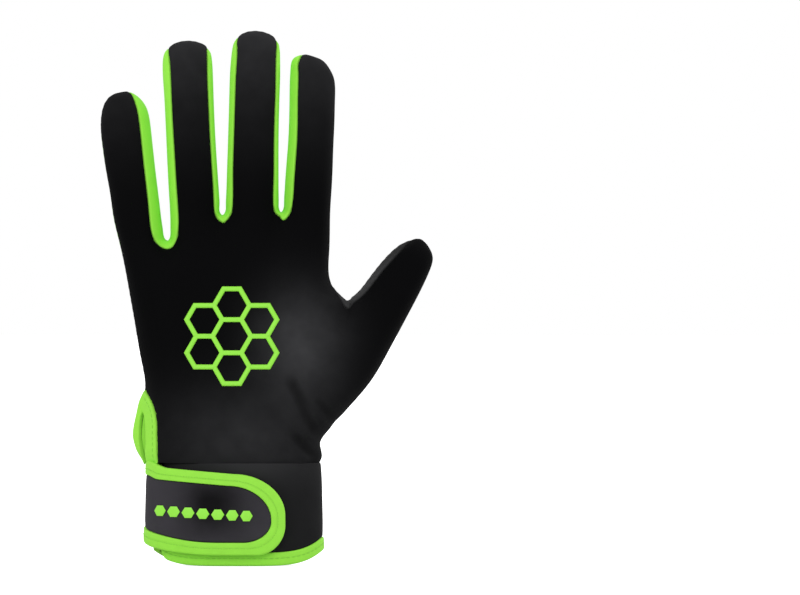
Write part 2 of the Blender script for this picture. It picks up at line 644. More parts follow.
def smooth_step(surface):
    """One smoothing step: a point in each face, one on each edge, old points pulled to them."""
    points = surface.points
    corners = surface.corners
    count = len(points)
    face_count = len(surface.starts) - 1
    after, before = surface.neighbours()
    sizes = np.diff(surface.starts)
    face_points = np.zeros((face_count, 3))
    np.add.at(face_points, surface.face_of, points[corners])
    face_points /= sizes[:, None]
    low = np.minimum(corners, corners[after])
    high = np.maximum(corners, corners[after])
    keys, edge_of, uses = np.unique(low * count + high, return_inverse=True, return_counts=True)
    ends = np.stack((keys // count, keys % count), axis=1)
    middles = points[ends].mean(axis=1)
    beside = np.zeros_like(middles)
    np.add.at(beside, edge_of, face_points[surface.face_of])
    is_open = uses == 1
    edge_points = np.where(is_open[:, None], middles, (middles + beside / 2) / 2)
    valence = np.zeros(count)
    edge_sum = np.zeros((count, 3))
    open_sum = np.zeros((count, 3))
    open_count = np.zeros(count)
    for side in (0, 1):
        np.add.at(valence, ends[:, side], 1)
        np.add.at(edge_sum, ends[:, side], middles)
        np.add.at(open_sum, ends[is_open, side], middles[is_open])
        np.add.at(open_count, ends[is_open, side], 1)
    face_sum = np.zeros((count, 3))
    np.add.at(face_sum, corners, face_points[surface.face_of])
    n = valence[:, None]
    inside = (face_sum / n + 2 * edge_sum / n + (n - 3) * points) / n
    border = (open_sum / np.maximum(open_count, 1)[:, None] + points) / 2
    moved = np.where(open_count[:, None] > 0, border, inside)
    new_points = np.concatenate((moved, face_points, edge_points))
    edge_start = count + face_count
    quads = np.stack((corners, edge_start + edge_of, count + surface.face_of,
                      edge_start + edge_of[before]), axis=1)
    quad_count = len(quads)
    smooth = Surface(new_points, quads.ravel(), np.repeat(np.arange(quad_count), 4),
                     np.arange(quad_count + 1) * 4, surface.pieces[surface.face_of])
    surface.edge_of = edge_start + edge_of
    surface.edges = ends
    return smooth


def fitted_cage(surface):
    """Pushes the cage out until the smoothed surface passes through its sections."""
    wanted = surface.points.copy()
    fitted = wanted.copy()
    for _ in range(FIT_ROUNDS):
        trial = Surface(fitted, surface.corners, surface.face_of, surface.starts, surface.pieces)
        for _ in range(FIT_LEVELS):
            trial = smooth_step(trial)
        fitted = fitted + wanted - trial.points[:len(wanted)]
    return Surface(fitted, surface.corners, surface.face_of, surface.starts, surface.pieces)


def surface_normals(points, quads):
    """The way out of the surface at each point, shared a little with the points round it."""
    crosses = np.cross(points[quads[:, 2]] - points[quads[:, 0]], points[quads[:, 3]] - points[quads[:, 1]])
    normals = np.zeros_like(points)
    for side in range(4):
        np.add.at(normals, quads[:, side], crosses)
    for _ in range(NORMAL_ROUNDS):
        shared = normals[quads].mean(axis=1)
        normals = np.zeros_like(points)
        for side in range(4):
            np.add.at(normals, quads[:, side], shared)
    lengths = np.linalg.norm(normals, axis=1, keepdims=True)
    return normals / np.maximum(lengths, 1e-12)


def nudged(points, nudges, share=1.0):
    """How far the points move sideways and up for a table of nudges."""
    move = np.zeros_like(points)
    for nudge in nudges:
        away = ((points[:, 0] - nudge["x"]) / nudge["reachX"]) ** 2
        near = np.exp(-away - ((points[:, 2] - nudge["z"]) / nudge["reachZ"]) ** 2) * share
        move[:, 0] += nudge["moveX"] * near
        move[:, 2] += nudge["moveZ"] * near
    return move


def trimmed(points):
    """The smooth hand with its outline nudged and the gaps between the fingers ending in a U."""
    points = points + nudged(points, OUTLINE_NUDGES)
    for crotch, amount in zip(CROTCHES, CROTCH_ROUNDING):
        off = points[:, 0] - crotch["x"]
        near = (off / 5) ** 2 + ((points[:, 2] - crotch["z"] - 1.5) / 3) ** 2
        near = near + ((points[:, 1] - crotch["y"]) / 9) ** 2
        points[:, 0] += amount * np.tanh(off) * np.exp(-near)
    return points


def seam_neighbours(quads, pieces):
    """The points between two pieces, each with its two neighbours along that seam."""
    starts = quads.ravel().tolist()
    ends = np.roll(quads, -1, axis=1).ravel().tolist()
    owners = dict(zip(zip(starts, ends), np.repeat(pieces, 4).tolist()))
    beside = {}
    for (a, b), piece in owners.items():
        if a < b and owners.get((b, a), piece) != piece:
            beside.setdefault(a, []).append(b)
            beside.setdefault(b, []).append(a)
    inner = np.array([(at, *ends) for at, ends in beside.items() if len(ends) == 2])
    return inner, np.array(sorted(beside))


def evened(points, seams, rounds):
    line = points.copy()
    middle, left, right = seams.T
    for _ in range(rounds):
        line[middle] = (line[left] + 2 * line[middle] + line[right]) / 4
    return line


def softened_seams(points, quads, pieces):
    """The same surface with its seams moved along it into smooth curves."""
    seams, held = seam_neighbours(quads, pieces)
    drawn = evened(points, seams, SEAM_ROUNDS)
    drawn = evened(points + (points - drawn), seams, SEAM_ROUNDS)
    blunt = evened(drawn, seams, STRIP_END["rounds"])
    for crotch in CROTCHES:
        for side, sign in (("back", -1), ("palm", 1)):
            end = (crotch["x"], crotch["y"] + sign * crotch["web"], crotch[side + "Z"])
            near = np.exp(-(np.linalg.norm(points - end, axis=1) / STRIP_END["reach"]) ** 2)[:, None]
            drawn = drawn + (blunt - drawn - (0, 0, crotch[side + "Drop"])) * near
    shift = np.zeros_like(points)
    shift[seams[:, 0]] = (drawn - points)[seams[:, 0]]
    size = np.linalg.norm(shift, axis=1, keepdims=True)
    shift *= LONGEST_SHIFT / np.maximum(size, LONGEST_SHIFT)
    above_wrist = smooth_between(points[:, 2], HAND_ROWS[-1]["zU"] + 2, HAND_ROWS[-1]["zU"] + 16)
    shift *= np.where(points[:, 0] > FINGERS[0]["x0"] / 2, above_wrist, 1)[:, None]
    starts = quads.ravel()
    ends = np.roll(quads, -1, axis=1).ravel()
    uses = np.maximum(np.bincount(starts, minlength=len(points)), 1)[:, None]
    field = shift.copy()
    for _ in range(SPREAD_ROUNDS):
        field = np.stack([np.bincount(starts, field[ends, axis], len(points)) for axis in range(3)], axis=1)
        field /= uses
        field[held] = shift[held]
    depth = surface_normals(points, quads)[:, 1] * 3
    field += nudged(points, BACK_SEAM_NUDGES, np.clip(-depth, 0, 1))
    field += nudged(points, PALM_SEAM_NUDGES, np.clip(depth, 0, 1))
    tree = BVHTree.FromPolygons(points.tolist(), quads.tolist())
    moved = points + field
    for at in np.flatnonzero(np.linalg.norm(field, axis=1) > 0.02):
        moved[at] = tree.find_nearest(Vector(moved[at]))[0]
    return moved


def oval_reach(points, oval):
    """Distance from the middle of an oval, where its edge is 1."""
    turn = math.radians(oval["turn"])
    x = points[:, 0] - oval["x"]
    z = points[:, 2] - oval["z"]
    along = (x * math.cos(turn) + z * math.sin(turn)) / oval["long"]
    across = (z * math.cos(turn) - x * math.sin(turn)) / oval["short"]
    return np.hypot(along, across)


def groove(points, fold):
    """How deep each point lies in a fold: a valley with a low ridge on each side."""
    start = np.array((fold["x0"], fold["z0"]))
    along = np.array((fold["x1"], fold["z1"])) - start
    length = np.linalg.norm(along)
    along = along / length
    flat = points[:, (0, 2)] - start
    run = flat @ along
    off = flat @ np.array((along[1], -along[0]))
    across = off / fold["width"]
    past = np.maximum(0, np.abs(run - length / 2) - length / 2) / (fold["width"] * 1.5)
    shape = np.exp(-across ** 2) - 0.45 * np.exp(-(np.abs(across) - 1.7) ** 2 / 0.6)
    return fold["depth"] * shape * np.exp(-past ** 2)


def pressed(points, normals):
    """The smooth surface with its folds, pads and blousing, and how deep each point lies in them."""
    depth = np.zeros(len(points))
    on_back = np.clip(-normals[:, 1] * 2 + 0.6, 0, 1)
    on_palm = np.clip(normals[:, 1] * 2, 0, 1)
    for fold in BACK_FOLDS:
        depth += groove(points, fold) * on_back
    for ring in PALM_RINGS:
        across = (oval_reach(points, ring) - 1) / RING_WIDTH
        depth += ring["depth"] * np.exp(-across ** 2) * on_palm
    for pad in PALM_PADS:
        depth -= pad["depth"] * np.exp(-oval_reach(points, pad) ** 2) * on_palm
    folded = np.clip(depth, -1.5, 1.5)
    above_seam = points[:, 2] - HAND_ROWS[-1]["zU"]
    blouse = 0.7 * np.exp(-((above_seam - 3) / 2.2) ** 2) - 0.3 * np.exp(-above_seam ** 2)
    blouse = blouse - 0.9 * np.exp(-((above_seam - 8.5) / 2.6) ** 2)
    side = np.clip((points[:, 0] - 5) / 25, 0.2, 1)
    depth -= blouse * side
    waves = np.sin(points[:, 0] * 0.55 + 1.3 * np.sin(points[:, 2] * 0.21)) * 0.16
    depth -= waves * np.exp(-(above_seam / 9) ** 2)
    return points - normals * depth[:, None], folded


PIECE_NAMES = ["back_panel", "palm_panel", *SIDE_STRIPS, "thumb_gusset", "vent_binding"]


class HandSurface:
    """The glove's smooth hand, shared by all the pieces cut from it."""

    def __init__(self):
        cage, self.names = glove_cage()
        level = fitted_cage(Surface.from_cage(cage, PIECE_NAMES))
        levels = FINE_LEVELS
        for _ in range(levels - 1):
            level = smooth_step(level)
        self.coarse = level
        self.fine = smooth_step(level)
        self.coarse_quads = self.coarse.corners.reshape(-1, 4)
        self.quads = self.fine.corners.reshape(-1, 4)
        smooth = trimmed(self.fine.points)
        smooth = softened_seams(smooth, self.quads, self.fine.pieces)
        self.points, self.folded = pressed(smooth, surface_normals(smooth, self.quads))
        self.normals = surface_normals(self.points, self.quads)
        ends = self.coarse.edges
        edge_start = len(self.coarse.points) + len(self.coarse_quads)
        self.middle_of = {(a, b): edge_start + i for i, (a, b) in enumerate(ends.tolist())}

    def fine_quads(self, piece):
        return self.quads[self.fine.pieces == PIECE_NAMES.index(piece)]

    def inner_quads(self, piece):
        return self.coarse_quads[self.coarse.pieces == PIECE_NAMES.index(piece)]


def open_edges(quads):
    """The directed edges of a sheet that have no neighbour."""
    starts = quads.ravel()
    ends = np.roll(quads, -1, axis=1).ravel()
    forward = set(zip(starts.tolist(), ends.tolist()))
    return [(a, b) for a, b in forward if (b, a) not in forward]


def edge_inwards(points, normals, edges):
    """At each point of an open edge, the way into the sheet, long enough to keep one distance."""
    sides = {}
    for a, b in edges:
        along = points[b] - points[a]
        along = along / np.linalg.norm(along)
        for end in (a, b):
            inward = np.cross(normals[end], along)
            sides.setdefault(end, []).append(inward / np.linalg.norm(inward))
    inwards = {}
    for at, (first, second) in sides.items():
        inwards[at] = (first + second) / max(0.06, 1 + float(first @ second))
    return inwards


def nearest(points, targets):
    """For each point, which target is nearest and how far away it is."""
    tree = KDTree(len(targets))
    for i, target in enumerate(targets):
        tree.insert(target, i)
    tree.balance()
    found = [tree.find(point) for point in points]
    return np.array([hit[1] for hit in found]), np.array([hit[2] for hit in found])


def distance_to(points, targets):
    return nearest(points, targets)[1]


def rolled(distance, radius):
    """How far a rounded edge falls at each distance from the seam."""
    inside = np.clip(radius - distance, 0, radius)
    return radius - np.sqrt(radius ** 2 - inside ** 2)


def seam_runs(points, edges):
    """How far along its seam each point of the open edges lies."""
    after = dict(edges)
    runs = {}
    for start in after:
        if start in runs:
            continue
        run = 0.0
        at = start
        while at not in runs:
            runs[at] = run
            run += float(np.linalg.norm(points[after[at]] - points[at]))
            at = after[at]
    return runs


def hand_sheet(hand, piece, wall, gap, roll, pucker):
    """One piece of the hand as a closed sheet: points, faces, distance from its seams, folds."""
    out, into = wall
    outer = hand.fine_quads(piece)
    inner = hand.inner_quads(piece)
    used = np.unique(outer)
    edges = open_edges(outer)
    inwards = edge_inwards(hand.points, hand.normals, edges)
    runs = seam_runs(hand.points, edges)
    border = np.array(sorted(inwards))
    border = border[hand.points[border, 2] > HAND_ROWS[-1]["zU"] + 0.3]
    closest, from_seam = nearest(hand.points[used].tolist(), hand.points[border].tolist())
    run = np.array([runs[at] for at in border])[closest]
    gathers = np.sin(2 * math.pi * run / SEAM_PUCKER + 1.7 * np.sin(run / 11))
    gathers *= pucker * np.exp(-((from_seam - 1.4) / 1.3) ** 2)
    place = np.full(len(hand.points), -1)
    place[used] = np.arange(len(used))
    shift = np.zeros((len(hand.points), 3))
    for at, inward in inwards.items():
        shift[at] = inward * gap / 2
    thinned = out * smooth_between(hand.points[used, 2], HAND_ROWS[-1]["zU"], HAND_ROWS[-1]["zU"] + 6)
    lift = thinned + gathers - rolled(from_seam, roll)
    outside = hand.points[used] + hand.normals[used] * lift[:, None] + shift[used]
    under = np.unique(inner)
    under_place = np.full(len(hand.points), -1)
    under_place[under] = len(used) + np.arange(len(under))
    inside = hand.points[under] - hand.normals[under] * into + shift[under]
    faces = place[outer].tolist()
    faces += under_place[inner][:, ::-1].tolist()
    for a, b in open_edges(inner):
        middle = hand.middle_of[(min(a, b), max(a, b))]
        faces.append([int(place[b]), int(place[middle]), int(place[a]),
                      int(under_place[a]), int(under_place[b])])
    points = np.concatenate((outside, inside))
    away = np.concatenate((from_seam, np.full(len(under), 9.0)))
    return points, faces, {"seam": away, "fold": hand.folded[np.concatenate((used, under))]}


def seam_walk(hand, piece, start, end):
    """The points of a piece's open edge from one named point to another, the shorter way."""
    after = dict(open_edges(hand.fine_quads(piece)))
    walks = []
    for first, last in ((start, end), (end, start)):
        walk = [first]
        while walk[-1] != last:
            walk.append(after[walk[-1]])
            if len(walk) > len(after) + 1:
                raise RuntimeError(f"{piece} has no seam between its named points")
        walks.append(walk)
    return min(walks, key=len)


_shared = {}


def the_hand():
    if "hand" not in _shared:
        _shared["hand"] = HandSurface()
    return _shared["hand"]


OUTLINE_STEPS = 400


def cuff_outline():
    """The cuff seen from above as equal turns, with the length from the middle of the back."""
    angles = np.linspace(0, 2 * math.pi, OUTLINE_STEPS + 1)
    power = 2 / CUFF["squareness"]
    across = np.sign(np.sin(angles)) * np.abs(np.sin(angles)) ** power
    depth = -np.sign(np.cos(angles)) * np.abs(np.cos(angles)) ** power
    x = across * CUFF["half"]
    y = depth * CUFF["back"]
    lengths = np.concatenate(([0], np.cumsum(np.hypot(np.diff(x), np.diff(y)))))
    tangent_x = np.gradient(x)
    tangent_y = np.gradient(y)
    size = np.hypot(tangent_x, tangent_y)
    return lengths, across, depth, tangent_x / size, tangent_y / size


CUFF_LENGTHS, CUFF_ACROSS, CUFF_DEPTH, CUFF_TANGENT_X, CUFF_TANGENT_Y = cuff_outline()
CUFF_ROUND = CUFF_LENGTHS[-1]


def cuff_points(along, z, lift):
    """Points on the cuff. along is counted from the middle of the back towards the thumb."""
    along, z, lift = (np.asarray(value, float) for value in np.broadcast_arrays(along, z, lift))
    wanted = np.mod(along, CUFF_ROUND)
    across = np.interp(wanted, CUFF_LENGTHS, CUFF_ACROSS)
    depth = np.interp(wanted, CUFF_LENGTHS, CUFF_DEPTH)
    tangent_x = np.interp(wanted, CUFF_LENGTHS, CUFF_TANGENT_X)
    tangent_y = np.interp(wanted, CUFF_LENGTHS, CUFF_TANGENT_Y)
    lower = np.clip(1 - z / CUFF["top"], 0, 1)
    x = CUFF["x"] + across * (CUFF["half"] + CUFF["flare"] * lower) + tangent_y * lift
    y = depth * (CUFF["back"] + CUFF["backFlare"] * lower) - tangent_x * lift
    return np.stack((x, y, z), axis=-1)


def hem_height(along):
    point = cuff_points(along, 0, 0)
    side = np.abs((point[..., 0] - CUFF["x"]) / (CUFF["half"] + CUFF["flare"])) ** HEM["sharpness"]
    palm_share = np.clip(point[..., 1] / CUFF["back"], 0, 1)
    before_end = np.clip(HEM["corner"] - (along - CUFF["backEnd"]), 0, HEM["corner"])
    corner = HEM["corner"] - np.sqrt(HEM["corner"] ** 2 - before_end ** 2)
    rises = (HEM["rise"] * side) ** HEM["merge"] + (HEM["palmRise"] * palm_share) ** HEM["merge"]
    return rises ** (1 / HEM["merge"]) + corner


def grid_faces(rows, columns):
    index = np.arange(rows * columns).reshape(rows, columns)
    return np.stack((index[:-1, :-1], index[1:, :-1], index[1:, 1:], index[:-1, 1:]), axis=-1).reshape(-1, 4)


def grid_sheet(outer, inner):
    """A closed sheet between two grids of points."""
    rows, columns = outer.shape[:2]
    quads = grid_faces(rows, columns)
    count = rows * columns
    faces = quads.tolist()
    faces += (quads[:, ::-1] + count).tolist()
    for a, b in open_edges(quads):
        faces.append([b, a, a + count, b + count])
    return np.concatenate((outer.reshape(-1, 3), inner.reshape(-1, 3))), faces


def strap_lift(along):
    """The strap leaves the palm end of the cuff flush with it and laps over the back end."""
    lapped = smooth_between(along, STRAP["start"], STRAP["lapped"])
    return lerp(STRAP["flushLift"], STRAP["lift"], lapped) + STRAP["wall"]


def strap_outline(inset, steps, corner_steps):
    """The strap's top and bottom lines as (along, height), drawn inside its outer edge."""
    right = STRAP["end"] - inset
    share = inset / BINDING_WIDTH
    top_x, top_z = (lerp(outer, inner, share) for outer, inner in zip(STRAP["cornerTop"], STRAP["innerTop"]))
    low_x, low_z = (lerp(outer, inner, share)
                    for outer, inner in zip(STRAP["cornerBottom"], STRAP["innerBottom"]))
    turn = np.linspace(0, math.pi / 2, corner_steps + 1)[1:]
    top_along = np.linspace(STRAP["start"], right - top_x, steps + 1)
    slope = STRAP["slope"] * (right - top_x - top_along)
    narrowed = share * (0.3 + 0.4 * smooth_between(-top_along, -4, 4))
    seated_rise = 1.1 * smooth_between(-top_along, 35, 41)
    joined_rise = smooth_between(-top_along, 31, 37) - smooth_between(-top_along, 42, 46)
    seated_rise = seated_rise + 1.1 * (1 - share) * joined_rise
    top_height = np.minimum(STRAP["startTop"], STRAP["top"] + slope) - inset + narrowed + seated_rise
    low_along = np.linspace(STRAP["start"], right - low_x, steps + 1)
    curve = STRAP["curve"] * np.maximum(0, STRAP["level"] - low_along) ** 2
    low_height = STRAP["bottom"] + curve + inset + share * (smooth_between(-low_along, 14, 40) - 0.3)
    corner_top = (right - top_x + top_x * np.sin(turn),
                  STRAP["top"] - inset - top_z + (top_z + narrowed[-1]) * np.cos(turn))
    corner_low = (right - low_x + low_x * np.sin(turn),
                  STRAP["bottom"] + inset + low_z - (low_z + 0.3 * share) * np.cos(turn))
    top = np.stack((np.append(top_along, corner_top[0]), np.append(top_height, corner_top[1])), axis=1)
    low = np.stack((np.append(low_along, corner_low[0]), np.append(low_height, corner_low[1])), axis=1)
    return top, low


def strap_padding(along, z):
    """How far the padded strap swells: full near its ends, pressed in across its middle."""
    swell = 0.55 * np.exp(-((along + 33) / 13) ** 2) + 0.45 * np.exp(-((along - 3) / 9) ** 2)
    dent = 0.8 * np.exp(-((along + 10) / 11) ** 2 - ((z - 29) / 8) ** 2)
    dent = dent + 0.5 * np.exp(-((along + 10) / 9) ** 2 - ((z - 14) / 5) ** 2)
    return swell - dent


def path_lengths(points):
    steps = np.linalg.norm(np.diff(points, axis=0), axis=1)
    return np.concatenate(([0], np.cumsum(steps)))


def tape_profile(width, wall, run, sizes):
    """The folded tape's section at each station: places across it and heights, all round."""
    share = (1 - np.cos(np.linspace(0, math.pi, 17))) / 2
    across = share * width
    edge = 0.9
    inner = 0.5
    crown = sizes.tape_crown / MM * np.sin(math.pi * share) ** 0.7
    beside_stitch = np.exp(-((across - STITCH_INSET) / 0.5) ** 2)
    pull = 0.75 + 0.25 * np.cos(2 * math.pi * run / TAPE_PUCKER)
    ripple = 0.06 * np.sin(2 * math.pi * run / 5.3 + 1.1 * np.sin(run / 7))
    over_edge = np.clip(across - (width - edge), 0, edge)
    over_inner = np.clip(inner - across, 0, inner)
    top = crown - (edge - np.sqrt(edge ** 2 - over_edge ** 2))
    top = top - (inner - np.sqrt(inner ** 2 - over_inner ** 2))
    top = top[None, :] - 0.12 * beside_stitch[None, :] * pull[:, None]
    top = top + ripple[:, None] * np.sin(math.pi * share)[None, :]
    under = across[-2::-3]
    under_edge = np.clip(under - (width - edge), 0, edge)
    low = -wall + (edge - np.sqrt(edge ** 2 - under_edge ** 2))
    low = np.broadcast_to(low, (len(run), len(low)))
    return np.concatenate((across, under)), np.concatenate((top, low), axis=1)


def tube_faces(stations, sides):
    """Faces of a closed tube whose rings have the same number of points, with its two ends."""
    index = np.arange(stations * sides).reshape(stations, sides)
    beside = np.roll(index, -1, axis=1)
    quads = np.stack((index[:-1], beside[:-1], beside[1:], index[1:]), axis=-1).reshape(-1, 4)
    return [*quads.tolist(), index[0][::-1].tolist(), index[-1].tolist()]


def tape_piece(inner, outer, lift, wall, sizes):
    """A folded tape laid on the cuff between two lines of (along, height)."""
    middle = (inner + outer) / 2
    run = path_lengths(cuff_points(middle[:, 0], middle[:, 1], lift))
    width = float(np.median(np.linalg.norm(inner - outer, axis=1)))
    across, heights = tape_profile(width, wall, run, sizes)
    share = (across / width)[None, :, None]
    places = inner[:, None, :] * (1 - share) + outer[:, None, :] * share
    points = cuff_points(places[..., 0], places[..., 1], lift[:, None] + heights)
    cloth = np.stack((np.broadcast_to(run[:, None], heights.shape),
                      np.broadcast_to(across[None, :], heights.shape),
                      np.zeros(heights.shape)), axis=-1)
    return points.reshape(-1, 3), tube_faces(len(run), len(across)), cloth.reshape(-1, 3)


def hem_lines(steps):
    along = np.linspace(CUFF["backEnd"], CUFF_ROUND + STRAP["start"] - CUFF["palmEndGap"], steps)
    bottom = hem_height(along)
    outer = np.stack((along, bottom), axis=1)
    inner = np.stack((along, bottom + BINDING_WIDTH), axis=1)
    return inner, outer


def strap_edge_lines(steps, corner_steps):
    """The strap tape's inner and outer lines, from the start along the top and round the end."""
    lines = []
    for inset in (BINDING_WIDTH, 0):
        top, low = strap_outline(inset, steps, corner_steps)
        lines.append(np.concatenate((top, low[-2::-1])))
    return lines


def shell_faces(quads, count):
    """Faces of a closed shell from its outer quads, whose inner points follow in the same order."""
    faces = quads.tolist()
    faces += (quads[:, ::-1] + count).tolist()
    faces += [[b, a, a + count, b + count] for a, b in open_edges(quads)]
    return faces


def seated(tree, points, lift):
    """Points moved to the nearest place on a built piece, then lifted, with the way out there."""
    places = []
    outs = []
    for point in points:
        place, normal, _, _ = tree.find_nearest(Vector(point))
        places.append(place + normal * lift)
        outs.append(normal)
    return np.array(places), np.array(outs)


def moved_in(points, outs, distance):
    """A line moved sideways, to the left of its run seen from outside."""
    along = np.gradient(points, axis=0)
    side = np.cross(outs, along)
    side /= np.linalg.norm(side, axis=1, keepdims=True)
    return points + side * distance


def resampled(points, outs, step):
    lengths = path_lengths(points)
    count = max(2, int(lengths[-1] / step))
    wanted = np.linspace(0, lengths[-1], count)
    place = np.stack([np.interp(wanted, lengths, points[:, i]) for i in range(3)], axis=1)
    out = np.stack([np.interp(wanted, lengths, outs[:, i]) for i in range(3)], axis=1)
    return place, out / np.linalg.norm(out, axis=1, keepdims=True)


def smoothed_line(points, rounds):
    for _ in range(rounds):
        points = np.concatenate((points[:1], (points[:-2] + points[1:-1] * 2 + points[2:]) / 4, points[-1:]))
    return points


def thread_tube(centres, outs, radius, sides):
    """A round thread along a short line."""
    along = np.gradient(centres, axis=0)
    along /= np.linalg.norm(along, axis=1, keepdims=True)
    side = np.cross(along, outs)
    side /= np.linalg.norm(side, axis=1, keepdims=True)
    up = np.cross(side, along)
    turns = np.arange(sides) * 2 * math.pi / sides
    ring = np.cos(turns)[None, :, None] * side[:, None, :] + np.sin(turns)[None, :, None] * up[:, None, :]
    points = centres[:, None, :] + ring * np.broadcast_to(radius, len(centres))[:, None, None]
    return points.reshape(-1, 3), tube_faces(len(centres), sides)


def stitch_row(points, outs, sizes, rng):
    """Separate stitches along a line: each comes up, runs a little way and goes down again."""
    length = sizes.stitch_length / MM
    pitch = length + sizes.stitch_gap / MM
    radius = sizes.stitch_width / MM / 2
    place, out = resampled(points, outs, 0.25)
    lengths = path_lengths(place)
    all_points = []
    all_faces = []
    count = 0
    for k in range(int((lengths[-1] - length) / pitch) + 1):
        start = k * pitch + rng.uniform(-0.08, 0.08)
        run = np.linspace(start, start + length, 7)
        centres = np.stack([np.interp(run, lengths, place[:, i]) for i in range(3)], axis=1)
        ways = np.stack([np.interp(run, lengths, out[:, i]) for i in range(3)], axis=1)
        rise = np.sin(np.linspace(0, math.pi, 7)) ** 0.6 * 1.6 - 0.9
        centres = centres + ways * (rise * radius)[:, None]
        tube, faces = thread_tube(centres, ways, radius, 6)
        all_points.append(tube)
        all_faces += [[corner + count for corner in face] for face in faces]
        count += len(tube)
    return np.concatenate(all_points), all_faces


def joined(parts):
    """Several sets of points and faces as one."""
    points = []
    faces = []
    count = 0
    for part_points, part_faces in parts:
        points.append(part_points)
        faces += [[corner + count for corner in face] for face in part_faces]
        count += len(part_points)
    return np.concatenate(points), faces


def hexagon_corner(k, cell):
    return cell * math.cos(k * math.pi / 3), cell * math.sin(k * math.pi / 3)


def honeycomb_quads(steps, strips):
    """Seven hexagon outlines that share their sides, as flat points and quads."""
    pitch = PRINT["cell"] * math.sqrt(3)
    turns = [(k + 0.5) * math.pi / 3 for k in range(6)]
    centres = [(0.0, 0.0)] + [(pitch * math.cos(turn), pitch * math.sin(turn)) for turn in turns]
    places = {}
    points = []
    quads = []

    def place(x, z):
        name = (round(x * 100), round(z * 100))
        if name not in places:
            places[name] = len(points)
            points.append((x, z))
        return places[name]

    for centre in centres:
        insets = []
        for turn in turns:
            beyond = (centre[0] + pitch * math.cos(turn), centre[1] + pitch * math.sin(turn))
            shared = any(math.dist(beyond, other) < 1 for other in centres)
            insets.append(PRINT["line"] / 2 if shared else PRINT["line"])

        def inner(k):
            before = ((k - 0.5) * math.pi / 3, pitch / 2 - insets[(k - 1) % 6])
            after = ((k + 0.5) * math.pi / 3, pitch / 2 - insets[k % 6])
            turn = math.sin(after[0] - before[0])
            x = (before[1] * math.sin(after[0]) - after[1] * math.sin(before[0])) / turn
            z = (after[1] * math.cos(before[0]) - before[1] * math.cos(after[0])) / turn
            return x, z

        for k in range(6):
            outer_line = (hexagon_corner(k, PRINT["cell"]), hexagon_corner(k + 1, PRINT["cell"]))
            inner_line = (inner(k), inner(k + 1))

            def at(s, w):
                share = s / steps
                x = lerp(lerp(inner_line[0][0], inner_line[1][0], share),
                         lerp(outer_line[0][0], outer_line[1][0], share), w / strips)
                z = lerp(lerp(inner_line[0][1], inner_line[1][1], share),
                         lerp(outer_line[0][1], outer_line[1][1], share), w / strips)
                return place(centre[0] + x, centre[1] + z)

            for s in range(steps):
                for w in range(strips):
                    quads.append((at(s, w), at(s, w + 1), at(s + 1, w + 1), at(s + 1, w)))
    return np.array(points), np.array(quads)


def linear(red, green, blue):
    """A colour seen on a screen, as the amount of light that it stands for."""
    parts = []
    for part in (red, green, blue):
        share = part / 255
        parts.append(share / 12.92 if share <= 0.04045 else ((share + 0.055) / 1.055) ** 2.4)
    return tuple(parts)


